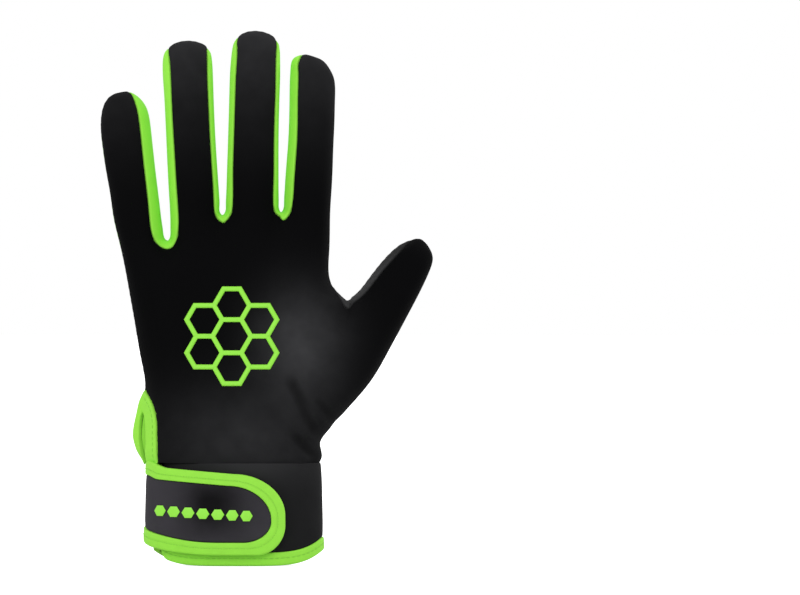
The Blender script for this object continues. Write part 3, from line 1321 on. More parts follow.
class Finish:
    """A material being put together. Each call adds a node and gives back its output."""

    def __init__(self, name, roughness, specular):
        self.material = bpy.data.materials.new(name)
        self.material.use_nodes = True
        self.tree = self.material.node_tree
        self.tree.nodes.clear()
        self.shader = self.tree.nodes.new("ShaderNodeBsdfPrincipled")
        output = self.tree.nodes.new("ShaderNodeOutputMaterial")
        self.tree.links.new(self.shader.outputs["BSDF"], output.inputs["Surface"])
        self.shader.inputs["Roughness"].default_value = roughness
        self.shader.inputs["Specular IOR Level"].default_value = specular

    def put(self, socket, value):
        if isinstance(value, bpy.types.NodeSocket):
            self.tree.links.new(value, socket)
        else:
            socket.default_value = value

    def sheen(self, weight, roughness, tint):
        self.shader.inputs["Sheen Weight"].default_value = weight
        self.shader.inputs["Sheen Roughness"].default_value = roughness
        self.shader.inputs["Sheen Tint"].default_value = (*tint, 1)

    def maths(self, operation, first, second=0.0, third=0.0):
        node = self.tree.nodes.new("ShaderNodeMath")
        node.operation = operation
        for socket, value in zip(node.inputs, (first, second, third)):
            self.put(socket, value)
        return node.outputs[0]

    def place(self):
        """Millimetres along the object's three axes."""
        coordinates = self.tree.nodes.new("ShaderNodeTexCoord")
        scaled = self.tree.nodes.new("ShaderNodeVectorMath")
        scaled.operation = "SCALE"
        scaled.inputs["Scale"].default_value = 1 / MM
        self.tree.links.new(coordinates.outputs["Object"], scaled.inputs[0])
        parts = self.tree.nodes.new("ShaderNodeSeparateXYZ")
        self.tree.links.new(scaled.outputs[0], parts.inputs[0])
        return scaled.outputs[0], parts.outputs[0], parts.outputs[1], parts.outputs[2]

    def stored(self, name):
        """Numbers kept in the mesh, such as millimetres from the nearest seam."""
        node = self.tree.nodes.new("ShaderNodeAttribute")
        node.attribute_name = name
        return node

    def run_across(self):
        """Millimetres along and across a tape or a wrapped piece of cloth."""
        parts = self.tree.nodes.new("ShaderNodeSeparateXYZ")
        self.tree.links.new(self.stored("cloth").outputs["Vector"], parts.inputs[0])
        return parts.outputs[0], parts.outputs[1]

    def rows_and_columns(self):
        """Millimetres across and up the cloth, read from the side that it mostly faces."""
        _, x, y, z = self.place()
        geometry = self.tree.nodes.new("ShaderNodeNewGeometry")
        parts = self.tree.nodes.new("ShaderNodeSeparateXYZ")
        self.tree.links.new(geometry.outputs["Normal"], parts.inputs[0])
        sideways = self.maths("ABSOLUTE", parts.outputs[0])
        forward = self.maths("ABSOLUTE", parts.outputs[1])
        faces_side = self.maths("GREATER_THAN", sideways, forward)
        return self.blend(x, y, faces_side), z

    def blend(self, first, second, share):
        node = self.tree.nodes.new("ShaderNodeMix")
        for socket, value in zip((node.inputs[0], node.inputs[2], node.inputs[3]), (share, first, second)):
            self.put(socket, value)
        return node.outputs[0]

    def tint(self, first, second, share):
        node = self.tree.nodes.new("ShaderNodeMix")
        node.data_type = "RGBA"
        values = [value if isinstance(value, bpy.types.NodeSocket) else (*value[:3], 1)
                  for value in (first, second)]
        for socket, value in zip((node.inputs[0], node.inputs[6], node.inputs[7]), (share, *values)):
            self.put(socket, value)
        return node.outputs[2]

    def mapped(self, value, low, high, to_low, to_high):
        node = self.tree.nodes.new("ShaderNodeMapRange")
        for socket, given in zip(node.inputs, (value, low, high, to_low, to_high)):
            self.put(socket, given)
        return node.outputs[0]

    def noise(self, size, detail=2.0):
        """Soft noise whose patches are about size millimetres across."""
        node = self.tree.nodes.new("ShaderNodeTexNoise")
        node.inputs["Scale"].default_value = 1 / size
        node.inputs["Detail"].default_value = detail
        self.tree.links.new(self.place()[0], node.inputs["Vector"])
        return node.outputs["Fac"]

    def cells(self, size):
        """Distance to the middle of the nearest of many small cells."""
        node = self.tree.nodes.new("ShaderNodeTexVoronoi")
        node.inputs["Scale"].default_value = 1 / size
        self.tree.links.new(self.place()[0], node.inputs["Vector"])
        return node.outputs["Distance"]

    def wave(self, value, pitch, shift=0.0):
        turned = self.maths("MULTIPLY_ADD", value, 2 * math.pi / pitch, shift)
        return self.maths("SINE", turned)

    def patch(self, x, z, middle, reach):
        """A soft round patch: 1 in its middle, fading out over its reach, all in millimetres."""
        across = self.maths("DIVIDE", self.maths("SUBTRACT", x, middle[0]), reach[0])
        up = self.maths("DIVIDE", self.maths("SUBTRACT", z, middle[1]), reach[1])
        away = self.maths("ADD", self.maths("MULTIPLY", across, across), self.maths("MULTIPLY", up, up))
        return self.maths("EXPONENT", self.maths("MULTIPLY", away, -1.0))

    def bump(self, height, depth, strength, below=None):
        node = self.tree.nodes.new("ShaderNodeBump")
        node.inputs["Strength"].default_value = strength
        node.inputs["Distance"].default_value = depth * MM
        self.put(node.inputs["Height"], height)
        if below is not None:
            self.put(node.inputs["Normal"], below)
        return node.outputs["Normal"]

    def done(self, colour, normal):
        self.put(self.shader.inputs["Base Color"], colour)
        self.put(self.shader.inputs["Normal"], normal)
        return self.material


def darker(colour, share):
    return tuple(part * share for part in colour[:3])


def stretch_knit(finish, pitch):
    """Small V-shaped loops in columns, as on a fine stretch knit."""
    across, up = finish.rows_and_columns()
    column = finish.wave(across, pitch)
    slant = finish.maths("MULTIPLY", finish.maths("ABSOLUTE", column), 1.6)
    row = finish.wave(up, pitch * 0.8, slant)
    return finish.maths("MULTIPLY", row, finish.mapped(column, -1.0, 1.0, 0.55, 1.0))


def seam_shade(finish, colour, reach):
    """The cloth's colour, darker where it turns into a seam."""
    near = finish.mapped(finish.stored("seam").outputs["Fac"], 0.1, reach, 1.0, 0.0)
    return finish.tint(colour, SEAM_DARK, finish.maths("MULTIPLY", near, 0.7))


def back_cloth_finish(colours):
    finish = Finish("back stretch knit", 0.78, 0.03)
    _, x, _, z = finish.place()
    up_finger = finish.mapped(z, 160.0, 240.0, 0.0, 1.0)
    tips = finish.maths("MULTIPLY", finish.maths("MULTIPLY", up_finger, up_finger), 0.46)
    wrist = finish.maths("MULTIPLY", finish.patch(x, z, (6.0, 57.0), (38.0, 22.0)), 0.36)
    thumb_side = finish.maths("MULTIPLY", finish.patch(x, z, (29.5, 100.0), (18.0, 22.0)), 0.68)
    lighter = finish.maths("ADD", tips, finish.maths("ADD", wrist, thumb_side))
    patchy = finish.mapped(finish.noise(9.0), 0.3, 0.7, 0.85, 1.15)
    share = finish.maths("MULTIPLY", lighter, patchy)
    tone = finish.tint(colours.back_cloth, colours.back_worn, share)
    in_fold = finish.mapped(finish.stored("fold").outputs["Fac"], 0.1, 1.0, 0.0, 0.6)
    tone = finish.tint(tone, SEAM_DARK, in_fold)
    knit = stretch_knit(finish, 0.62)
    fibres = finish.noise(0.35, 3.0)
    height = finish.maths("ADD", knit, finish.maths("MULTIPLY", fibres, 0.9))
    return finish.done(seam_shade(finish, tone, 1.0), finish.bump(height, 0.05, 0.35))


def palm_foam_finish(colours):
    finish = Finish("palm foam", 0.62, 0.1)
    _, x, _, z = finish.place()
    grain = finish.cells(0.9)
    raised = finish.stored("fold").outputs["Fac"]
    knuckles = finish.patch(x, z, (4.0, 170.0), (70.0, 38.0))
    soft = finish.mapped(finish.noise(14.0), 0.3, 0.7, 0.0, 0.12)
    light_share = finish.maths("ADD", finish.maths("MULTIPLY", knuckles, 0.42), soft)
    light_share = finish.maths("ADD", light_share, finish.mapped(raised, -1.3, -0.1, 0.8, 0.0))
    tone = finish.tint(colours.palm_foam, colours.palm_light, light_share)
    heel = finish.mapped(z, 112.0, 50.0, 0.0, 0.95)
    tone = finish.tint(tone, darker(colours.palm_foam, 0.22), heel)
    tips = finish.mapped(z, 200.0, 240.0, 0.0, 0.5)
    tone = finish.tint(tone, darker(colours.palm_foam, 0.5), tips)
    tone = finish.tint(tone, darker(colours.palm_foam, 0.6), finish.mapped(grain, 0.35, 0.7, 0.0, 0.3))
    tone = finish.tint(tone, darker(colours.palm_foam, 0.2), finish.mapped(raised, 0.05, 0.9, 0.0, 0.75))
    pores = finish.maths("MULTIPLY", grain, -1.0)
    height = finish.maths("ADD", pores, finish.maths("MULTIPLY", finish.noise(0.4, 3.0), 0.6))
    return finish.done(seam_shade(finish, tone, 1.0), finish.bump(height, 0.07, 0.3))


def green_cloth_finish(colours):
    finish = Finish("green stretch mesh", 0.65, 0.12)
    across, up = finish.rows_and_columns()
    net = finish.maths("MULTIPLY", finish.wave(across, 1.1), finish.wave(up, 1.1))
    fine = finish.noise(0.4, 3.0)
    shade = finish.mapped(net, 0.2, 1.0, 0.0, 0.16)
    tone = finish.tint(colours.green_cloth, darker(colours.green_cloth, 0.55), shade)
    patchy = finish.mapped(finish.noise(6.0), 0.35, 0.7, 0.0, 0.12)
    tone = finish.tint(tone, darker(colours.green_cloth, 0.75), patchy)
    height = finish.maths("ADD", finish.maths("MULTIPLY", net, -1.0), fine)
    edge = finish.mapped(finish.stored("seam").outputs["Fac"], 0.05, 0.7, 0.35, 0.0)
    tone = finish.tint(tone, darker(colours.green_cloth, 0.35), edge)
    return finish.done(tone, finish.bump(height, 0.06, 0.3))


def green_tape_finish(colours):
    finish = Finish("green binding tape", 0.6, 0.12)
    run, across = finish.run_across()
    ribs = finish.wave(run, 0.62)
    warp = finish.wave(across, 0.48)
    woven = finish.maths("ADD", ribs, finish.maths("MULTIPLY", warp, finish.maths("MULTIPLY", ribs, 0.6)))
    patchy = finish.mapped(finish.noise(5.0), 0.3, 0.75, 0.0, 0.14)
    tone = finish.tint(colours.green_tape, darker(colours.green_tape, 0.7), patchy)
    tone = finish.tint(tone, darker(colours.green_tape, 0.6), finish.mapped(woven, -1.0, -0.2, 0.16, 0.0))
    near_stitch = finish.maths("ABSOLUTE", finish.maths("SUBTRACT", across, STITCH_INSET))
    beside_stitch = finish.mapped(near_stitch, 0.1, 0.6, 0.12, 0.0)
    tone = finish.tint(tone, darker(colours.green_tape, 0.5), beside_stitch)
    return finish.done(tone, finish.bump(woven, 0.05, 0.3))


def vent_tape_finish(colours):
    finish = Finish("green vent tape", 0.6, 0.12)
    across, up = finish.rows_and_columns()
    ribs = finish.wave(up, 0.62)
    warp = finish.wave(across, 0.48)
    woven = finish.maths("ADD", ribs, finish.maths("MULTIPLY", warp, finish.maths("MULTIPLY", ribs, 0.6)))
    patchy = finish.mapped(finish.noise(5.0), 0.3, 0.75, 0.0, 0.14)
    tone = finish.tint(colours.green_tape, darker(colours.green_tape, 0.7), patchy)
    tone = finish.tint(tone, darker(colours.green_tape, 0.6), finish.mapped(woven, -1.0, -0.2, 0.16, 0.0))
    edge = finish.mapped(finish.stored("seam").outputs["Fac"], 0.05, 0.6, 0.3, 0.0)
    tone = finish.tint(tone, darker(colours.green_tape, 0.4), edge)
    palm_side = finish.mapped(finish.place()[2], VENT_BACKING[0], VENT_BACKING[1], 0.0, 1.0)
    tone = finish.tint(tone, darker(colours.palm_foam, 0.5), palm_side)
    return finish.done(tone, finish.bump(woven, 0.05, 0.3))


def gusset_finish(colours):
    finish = Finish("gusset stretch cloth", 0.75, 0.2)
    knit = stretch_knit(finish, 0.7)
    tone = finish.tint(colours.gusset_cloth, darker(colours.gusset_cloth, 0.7),
                       finish.mapped(finish.noise(4.0), 0.35, 0.7, 0.0, 0.6))
    depth = finish.place()[2]
    tone = finish.tint(tone, SEAM_DARK, finish.mapped(depth, 4.0, 9.0, 0.0, 0.95))
    return finish.done(seam_shade(finish, tone, 0.8), finish.bump(knit, 0.06, 0.35))


def cuff_finish(name, base, other, patches):
    """Foam-backed jersey with fine slanting rows. A patch of another tone has a side, middle and reach."""
    finish = Finish(name, 0.72, 0.06)
    run, up = finish.run_across()
    _, x, y, z = finish.place()
    slant = finish.maths("MULTIPLY_ADD", run, 0.6, up)
    rows = finish.wave(slant, 0.55)
    columns = finish.wave(run, 0.7)
    jersey = finish.maths("MULTIPLY", rows, finish.mapped(columns, -1.0, 1.0, 0.5, 1.0))
    share = finish.mapped(finish.noise(11.0), 0.3, 0.75, 0.0, 0.15)
    for side, middle, reach in patches:
        on_side = finish.mapped(y, -2.0 * side, 2.0 * side, 0.0, 1.0)
        here = finish.maths("MULTIPLY", finish.patch(x, z, middle, reach), on_side)
        share = finish.maths("ADD", share, here)
    tone = finish.tint(base, other, finish.maths("MINIMUM", share, 1.0))
    height = finish.maths("ADD", jersey, finish.noise(0.4, 3.0))
    return finish.done(tone, finish.bump(height, 0.05, 0.35))


def loop_finish(colours):
    finish = Finish("loop pile", 0.9, 0.1)
    curls = finish.cells(0.55)
    fluff = finish.noise(0.3, 4.0)
    raised = finish.mapped(curls, 0.1, 0.6, 1.0, 0.0)
    tone = finish.tint(darker(colours.cuff_cloth, 0.6), colours.cuff_cloth, raised)
    height = finish.maths("ADD", finish.maths("MULTIPLY", curls, -1.5), fluff)
    return finish.done(tone, finish.bump(height, 0.3, 0.8))


def print_finish(colours):
    finish = Finish("green transfer print", 0.42, 0.35)
    worn = finish.mapped(finish.noise(2.5, 4.0), 0.62, 0.75, 0.0, 0.25)
    tone = finish.tint(colours.green_print, darker(colours.green_print, 0.6), worn)
    knit = stretch_knit(finish, 0.62)
    height = finish.maths("ADD", finish.maths("MULTIPLY", knit, 0.5), finish.noise(0.8, 3.0))
    return finish.done(tone, finish.bump(height, 0.04, 0.25))


def thread_finish(name, colour):
    finish = Finish(name, 0.55, 0.3)
    twist = finish.noise(0.25, 3.0)
    tone = finish.tint(colour, darker(colour, 0.6), finish.mapped(twist, 0.4, 0.7, 0.0, 0.7))
    return finish.done(tone, finish.bump(twist, 0.05, 0.5))


def floor_finish(stage):
    """Pale paper that shows white in the picture but throws no more light on the glove."""
    finish = Finish("studio floor", 0.85, 0.2)
    tone = finish.tint(stage.floor_colour, darker(stage.floor_colour, 0.97), finish.noise(300.0))
    path = finish.tree.nodes.new("ShaderNodeLightPath")
    finish.shader.inputs["Emission Color"].default_value = (1, 1, 1, 1)
    lift = finish.maths("MULTIPLY", path.outputs["Is Camera Ray"], stage.floor_lift)
    finish.put(finish.shader.inputs["Emission Strength"], lift)
    return finish.done(tone, finish.bump(finish.noise(4.0), 0.05, 0.1))


def add_piece(name, shape, material, nodes=(), numbers=None, sharp_angle=60):
    """Makes the object for one piece from points in millimetres and their faces."""
    points, faces = shape
    mesh = bpy.data.meshes.new(name)
    mesh.from_pydata((np.asarray(points) * MM).tolist(), [], faces)
    mesh.shade_smooth()
    mesh.set_sharp_from_angle(angle=math.radians(sharp_angle))
    for kind, values in (numbers or {}).items():
        flat = np.asarray(values, np.float32)
        form, key = ("FLOAT_VECTOR", "vector") if flat.ndim > 1 else ("FLOAT", "value")
        mesh.attributes.new(kind, form, "POINT").data.foreach_set(key, flat.ravel())
    mesh.materials.append(material)
    piece = bpy.data.objects.new(name, mesh)
    bpy.context.scene.collection.objects.link(piece)
    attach(piece, "root")
    if nodes:
        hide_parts(*nodes)
    _shared[name] = shape
    return piece


def tree_of(name):
    """The built piece as a tree that finds its nearest surface."""
    points, faces = _shared[name]
    return BVHTree.FromPolygons(np.asarray(points).tolist(), faces)


class GloveColours(bpy.types.PropertyGroup):
    """Colours of the glove's cloths, tapes, print and threads."""

    green_cloth: bpy.props.FloatVectorProperty(
        name="Side strips", description="Stretch mesh between the fingers",
        subtype="COLOR", min=0, max=1, default=linear(151, 235, 74))
    green_tape: bpy.props.FloatVectorProperty(
        name="Tape", description="Binding tape round the vent, hem and strap",
        subtype="COLOR", min=0, max=1, default=linear(152, 230, 73))
    green_print: bpy.props.FloatVectorProperty(
        name="Print", description="Transfer print on the back and the strap",
        subtype="COLOR", min=0, max=1, default=linear(147, 230, 66))
    back_cloth: bpy.props.FloatVectorProperty(
        name="Back", description="Knit over the back of the hand",
        subtype="COLOR", min=0, max=1, default=linear(7, 7, 8))
    back_worn: bpy.props.FloatVectorProperty(
        name="Back, lighter", description="The same knit where it is stretched and catches light",
        subtype="COLOR", min=0, max=1, default=linear(64, 64, 66))
    palm_foam: bpy.props.FloatVectorProperty(
        name="Palm", description="Foam face of the palm",
        subtype="COLOR", min=0, max=1, default=linear(48, 46, 47))
    palm_light: bpy.props.FloatVectorProperty(
        name="Palm, lighter", description="The same foam where it is pushed out",
        subtype="COLOR", min=0, max=1, default=linear(94, 92, 93))
    gusset_cloth: bpy.props.FloatVectorProperty(
        name="Thumb gusset", description="Stretch strip round the thumb crotch",
        subtype="COLOR", min=0, max=1, default=linear(50, 50, 51))
    cuff_cloth: bpy.props.FloatVectorProperty(
        name="Cuff", description="Foam-backed jersey of the cuff",
        subtype="COLOR", min=0, max=1, default=linear(25, 25, 26))
    strap_cloth: bpy.props.FloatVectorProperty(
        name="Strap", description="Padded core of the closing strap",
        subtype="COLOR", min=0, max=1, default=linear(59, 57, 62))
    thread_green: bpy.props.FloatVectorProperty(
        name="Green thread", description="Stitches on the binding tape",
        subtype="COLOR", min=0, max=1, default=linear(140, 216, 66))
    thread_grey: bpy.props.FloatVectorProperty(
        name="Grey thread", description="Stitches beside the palm's notch",
        subtype="COLOR", min=0, max=1, default=linear(88, 86, 88))


class GloveSizes(bpy.types.PropertyGroup):
    """Sizes of the glove's seams, tapes and stitches."""

    seam_gap: bpy.props.FloatProperty(
        name="Seam gap", description="Space left between two sewn pieces",
        subtype="DISTANCE", unit="LENGTH", min=0, default=0.1 * MM)
    seam_roll: bpy.props.FloatProperty(
        name="Seam roll", description="Radius of the cloth where it turns into a seam",
        subtype="DISTANCE", unit="LENGTH", min=0, default=0.9 * MM)
    strip_roll: bpy.props.FloatProperty(
        name="Strip roll", description="The same radius on the green side strips",
        subtype="DISTANCE", unit="LENGTH", min=0, default=0.6 * MM)
    pucker_depth: bpy.props.FloatProperty(
        name="Pucker depth", description="Height of the small gathers beside a seam",
        subtype="DISTANCE", unit="LENGTH", min=0, default=0.06 * MM)
    tape_crown: bpy.props.FloatProperty(
        name="Tape crown", description="How far a folded tape swells along its middle",
        subtype="DISTANCE", unit="LENGTH", min=0, default=0.12 * MM)
    stitch_length: bpy.props.FloatProperty(
        name="Stitch length", description="Length of one stitch",
        subtype="DISTANCE", unit="LENGTH", min=0, default=1.9 * MM)
    stitch_gap: bpy.props.FloatProperty(
        name="Stitch gap", description="Space between two stitches",
        subtype="DISTANCE", unit="LENGTH", min=0, default=0.7 * MM)
    stitch_width: bpy.props.FloatProperty(
        name="Stitch width", description="Thickness of the thread",
        subtype="DISTANCE", unit="LENGTH", min=0, default=0.3 * MM)
    piping_width: bpy.props.FloatProperty(
        name="Piping width", description="Thickness of the cord in the little finger's seam",
        subtype="DISTANCE", unit="LENGTH", min=0, default=0.9 * MM)


class GloveStage(bpy.types.PropertyGroup):
    """The camera, lights and floor."""

    camera_distance: bpy.props.FloatProperty(
        name="Camera distance", description="From the glove's middle to the camera",
        subtype="DISTANCE", unit="LENGTH", min=0.1, default=5.0)
    floor_size: bpy.props.FloatProperty(
        name="Floor size", description="Side of the square floor",
        subtype="DISTANCE", unit="LENGTH", min=1, default=60.0)
    floor_colour: bpy.props.FloatVectorProperty(
        name="Floor", description="Colour of the floor",
        subtype="COLOR", min=0, max=1, default=(0.86, 0.86, 0.86))
    floor_lift: bpy.props.FloatProperty(
        name="Floor lift", description="How much lighter the floor shows than it is lit",
        min=0, default=0.9)
    fill: bpy.props.FloatProperty(
        name="Fill", description="Strength of the even light from all round",
        min=0, default=0.9)
    key: bpy.props.FloatProperty(
        name="Key", description="Power of the large light above the camera, in watts",
        min=0, default=38.0)


def add_light(name, power, size, place, target):
    light = bpy.data.lights.new(name, "AREA")
    light.energy = power
    light.size = size
    lamp = bpy.data.objects.new(name, light)
    lamp.location = place
    lamp.rotation_euler = (Vector(target) - Vector(place)).to_track_quat("-Z", "Y").to_euler()
    bpy.context.scene.collection.objects.link(lamp)


def hand_piece(name, cad_node, roll, material, sizes):
    hand = the_hand()
    wall = WALLS[cad_node]
    pucker = 0 if cad_node == "vent_binding" else sizes.pucker_depth / MM
    points, faces, numbers = hand_sheet(hand, cad_node, wall, sizes.seam_gap / MM, roll / MM, pucker)
    return add_piece(name, (points, faces), material, [cad_node], numbers)


class GLOVE_OT_stage(bpy.types.Operator):
    """Set up the pale floor, the soft lights and the camera"""

    bl_idname = "glove.stage"
    bl_label = "Stage"

    def execute(self, context):
        stage = context.scene.glove_stage
        middle_x = (PHOTO_WIDTH_PX / 2 - PHOTO_ORIGIN_PX[0]) * MM_PER_PX * MM
        middle_z = (PHOTO_ORIGIN_PX[1] - PHOTO_HEIGHT_PX / 2) * MM_PER_PX * MM
        camera = bpy.data.cameras.new("camera")
        camera.sensor_width = 36
        camera.lens = camera.sensor_width * stage.camera_distance / (PHOTO_WIDTH_PX * MM_PER_PX * MM)
        camera.clip_end = 100
        view = bpy.data.objects.new("camera", camera)
        view.location = (middle_x, -stage.camera_distance, middle_z)
        view.rotation_euler = (math.radians(90), 0, 0)
        context.scene.collection.objects.link(view)
        context.scene.camera = view
        context.scene.view_settings.view_transform = "Standard"

        half = stage.floor_size / 2
        corners = [(-half, -half, 0), (half, -half, 0), (half, half, 0), (-half, half, 0)]
        mesh = bpy.data.meshes.new("floor")
        mesh.from_pydata([(x, y, -FLOOR_DROP * MM) for x, y, _ in corners], [], [(0, 1, 2, 3)])
        mesh.materials.append(floor_finish(stage))
        floor = bpy.data.objects.new("floor", mesh)
        context.scene.collection.objects.link(floor)

        world = bpy.data.worlds.new("soft light")
        world.use_nodes = True
        tree = world.node_tree
        seen = tree.nodes["Background"]
        seen.inputs["Color"].default_value = (1, 1, 1, 1)
        lit = tree.nodes.new("ShaderNodeBackground")
        lit.inputs["Color"].default_value = (1, 1, 1, 1)
        lit.inputs["Strength"].default_value = stage.fill
        path = tree.nodes.new("ShaderNodeLightPath")
        mix = tree.nodes.new("ShaderNodeMixShader")
        tree.links.new(path.outputs["Is Camera Ray"], mix.inputs[0])
        tree.links.new(lit.outputs[0], mix.inputs[1])
        tree.links.new(seen.outputs[0], mix.inputs[2])
        tree.links.new(mix.outputs[0], tree.nodes["World Output"].inputs["Surface"])
        context.scene.world = world

        glove_middle = (0.01, 0, 0.12)
        add_light("key", stage.key, 2.3, (-1.5, -3.5, 2.2), glove_middle)
        add_light("rim", stage.key * 0.5, 1.8, (2.3, 1.3, 2.3), glove_middle)
        return {"FINISHED"}


class GLOVE_OT_hand_panels(bpy.types.Operator):
    """Sew the knit back and the foam palm"""

    bl_idname = "glove.hand_panels"
    bl_label = "Back and palm"

    def execute(self, context):
        colours = context.scene.glove_colours
        sizes = context.scene.glove_sizes
        roll = sizes.seam_roll
        hand_piece("back_cloth", "back_panel", roll, back_cloth_finish(colours), sizes)
        hand_piece("palm_foam", "palm_panel", roll, palm_foam_finish(colours), sizes)
        return {"FINISHED"}


class GLOVE_OT_side_strips(bpy.types.Operator):
    """Sew the three green strips round the finger crotches"""

    bl_idname = "glove.side_strips"
    bl_label = "Side strips"

    def execute(self, context):
        sizes = context.scene.glove_sizes
        finish = green_cloth_finish(context.scene.glove_colours)
        for cad_node in SIDE_STRIPS:
            name = cad_node.replace("fourchette_", "") + "_strip"
            hand_piece(name, cad_node, sizes.strip_roll, finish, sizes)
        return {"FINISHED"}


class GLOVE_OT_thumb_gusset(bpy.types.Operator):
    """Sew the grey strip round the thumb crotch"""

    bl_idname = "glove.thumb_gusset"
    bl_label = "Thumb gusset"

    def execute(self, context):
        sizes = context.scene.glove_sizes
        finish = gusset_finish(context.scene.glove_colours)
        hand_piece("thumb_crotch_strip", "thumb_gusset", sizes.strip_roll, finish, sizes)
        return {"FINISHED"}


class GLOVE_OT_vent_tape(bpy.types.Operator):
    """Bind the slit at the little-finger side"""

    bl_idname = "glove.vent_tape"
    bl_label = "Vent tape"

    def execute(self, context):
        sizes = context.scene.glove_sizes
        finish = vent_tape_finish(context.scene.glove_colours)
        hand_piece("vent_tape", "vent_binding", sizes.strip_roll, finish, sizes)
        self.facing(finish)
        return {"FINISHED"}

    def facing(self, finish):
        """The inner half of the palm side's tape, which shows through the slit."""
        hand = the_hand()
        walk = seam_walk(hand, "vent_binding", hand.names["lip_top"], hand.names["lip_palm"])
        lip = hand.points[walk] + (VENT_FACING["aside"], VENT_FACING["behind"], 0)
        across = np.linspace(0, VENT_FACING["width"], 12)[None, :, None]
        outer = lip[:, None, :] + across * np.array((1, -0.2, 0))
        inner = outer + (0, VENT_FACING["wall"], 0)
        shape = grid_sheet(outer, inner)
        add_piece("vent_facing", shape, finish, numbers={"seam": np.full(len(shape[0]), 5.0)})


class GLOVE_OT_cuff(bpy.types.Operator):
    """Wrap the cuff below the hand"""

    bl_idname = "glove.cuff"
    bl_label = "Cuff"

    def execute(self, context):
        colours = context.scene.glove_colours
        patches = ((-1, (8.0, 46.0), (24.0, 8.0)), (1, (-24.0, 30.0), (22.0, 22.0)))
        finish = cuff_finish("cuff jersey", colours.cuff_cloth, darker(colours.cuff_cloth, 2.6), patches)
        around = np.linspace(CUFF["backEnd"], CUFF_ROUND + STRAP["start"] - CUFF["palmEndGap"], 260)
        share = (1 - np.cos(np.linspace(0, math.pi, 56))) / 2
        bottom = hem_height(around) + BINDING_WIDTH - TAPE_TUCK
        along = np.broadcast_to(around[:, None], (len(around), len(share)))
        z = bottom[:, None] + (CUFF["top"] + CUFF_RISE - bottom[:, None]) * share[None, :]
        from_top = CUFF["top"] + CUFF_RISE - z
        from_bottom = z - bottom[:, None]
        swell = 0.5 * np.sin(math.pi * share)[None, :] ** 0.8
        waves = 0.18 * np.sin(along * 0.13 + 0.8 * np.sin(z * 0.17)) * np.sin(math.pi * share)[None, :]
        lift = swell + waves - rolled(from_top, 0.6) - rolled(from_bottom, 0.8)
        outer = cuff_points(along, z, lift)
        inner = cuff_points(along, z, -CUFF["wall"])
        points, faces = grid_sheet(outer, inner)
        cloth = np.stack((along, z, np.zeros_like(z)), axis=-1).reshape(-1, 3)
        cloth = np.concatenate((cloth, cloth))
        add_piece("cuff_cloth", (points, faces), finish, ["wrist_cuff"], {"cloth": cloth})
        return {"FINISHED"}


class GLOVE_OT_hem_tape(bpy.types.Operator):
    """Bind the cuff's bottom edge"""

    bl_idname = "glove.hem_tape"
    bl_label = "Hem tape"

    def execute(self, context):
        sizes = context.scene.glove_sizes
        inner, outer = hem_lines(340)
        lift = np.full(len(inner), float(HEM["stand"]))
        points, faces, cloth = tape_piece(inner, outer, lift, HEM["wall"], sizes)
        finish = green_tape_finish(context.scene.glove_colours)
        add_piece("hem_tape", (points, faces), finish, ["hem_binding"], {"cloth": cloth})
        return {"FINISHED"}


class GLOVE_OT_loop_pile(bpy.types.Operator):
    """Lay the loop half of the touch fastener under the strap"""

    bl_idname = "glove.loop_pile"
    bl_label = "Loop pile"

    def execute(self, context):
        along, z = np.meshgrid(np.linspace(LOOP_PATCH["from"], LOOP_PATCH["to"], 90),
                               np.linspace(LOOP_PATCH["bottom"], LOOP_PATCH["top"], 62), indexing="ij")
        rng = np.random.default_rng(7)
        edge = np.minimum.reduce([along - LOOP_PATCH["from"], LOOP_PATCH["to"] - along,
                                  z - LOOP_PATCH["bottom"], LOOP_PATCH["top"] - z])
        pile = rng.uniform(-0.12, 0.12, along.shape) - rolled(edge, 0.5)
        outer = cuff_points(along, z, LOOP_PATCH["lift"] + LOOP_PATCH["wall"] + pile)
        inner = cuff_points(along, z, LOOP_PATCH["lift"])
        finish = loop_finish(context.scene.glove_colours)
        add_piece("loop_pile", grid_sheet(outer, inner), finish, ["loop_patch"])
        return {"FINISHED"}


class GLOVE_OT_strap(bpy.types.Operator):
    """Pad the closing strap"""

    bl_idname = "glove.strap"
    bl_label = "Strap"

    def execute(self, context):
        colours = context.scene.glove_colours
        patches = ((-1, (-9.0, 27.5), (14.5, 14.0)),)
        finish = cuff_finish("strap jersey", colours.strap_cloth, darker(colours.strap_cloth, 0.12), patches)
        top, low = strap_outline(BINDING_WIDTH + TAPE_TUCK, 110, 40)
        share = (1 - np.cos(np.linspace(0, math.pi, 44))) / 2
        places = low[:, None, :] * (1 - share[None, :, None]) + top[:, None, :] * share[None, :, None]
        along = places[..., 0]
        z = places[..., 1]
        height = np.linalg.norm(top - low, axis=1)[:, None]
        edge = np.minimum(share, 1 - share)[None, :] * height
        base = strap_lift(along)
        soft = smooth_between(edge, 0, 4)
        lift = base + strap_padding(along, z) * soft - rolled(edge, 0.7)
        outer = cuff_points(along, z, lift)
        inner = cuff_points(along, z, base - STRAP["wall"])
        cloth = np.stack((along, z, np.zeros_like(z)), axis=-1).reshape(-1, 3)
        cloth = np.concatenate((cloth, cloth))
        strap = add_piece("strap_core", grid_sheet(outer, inner), finish,
                          ["wrist_strap"], {"cloth": cloth})
        return {"FINISHED"}


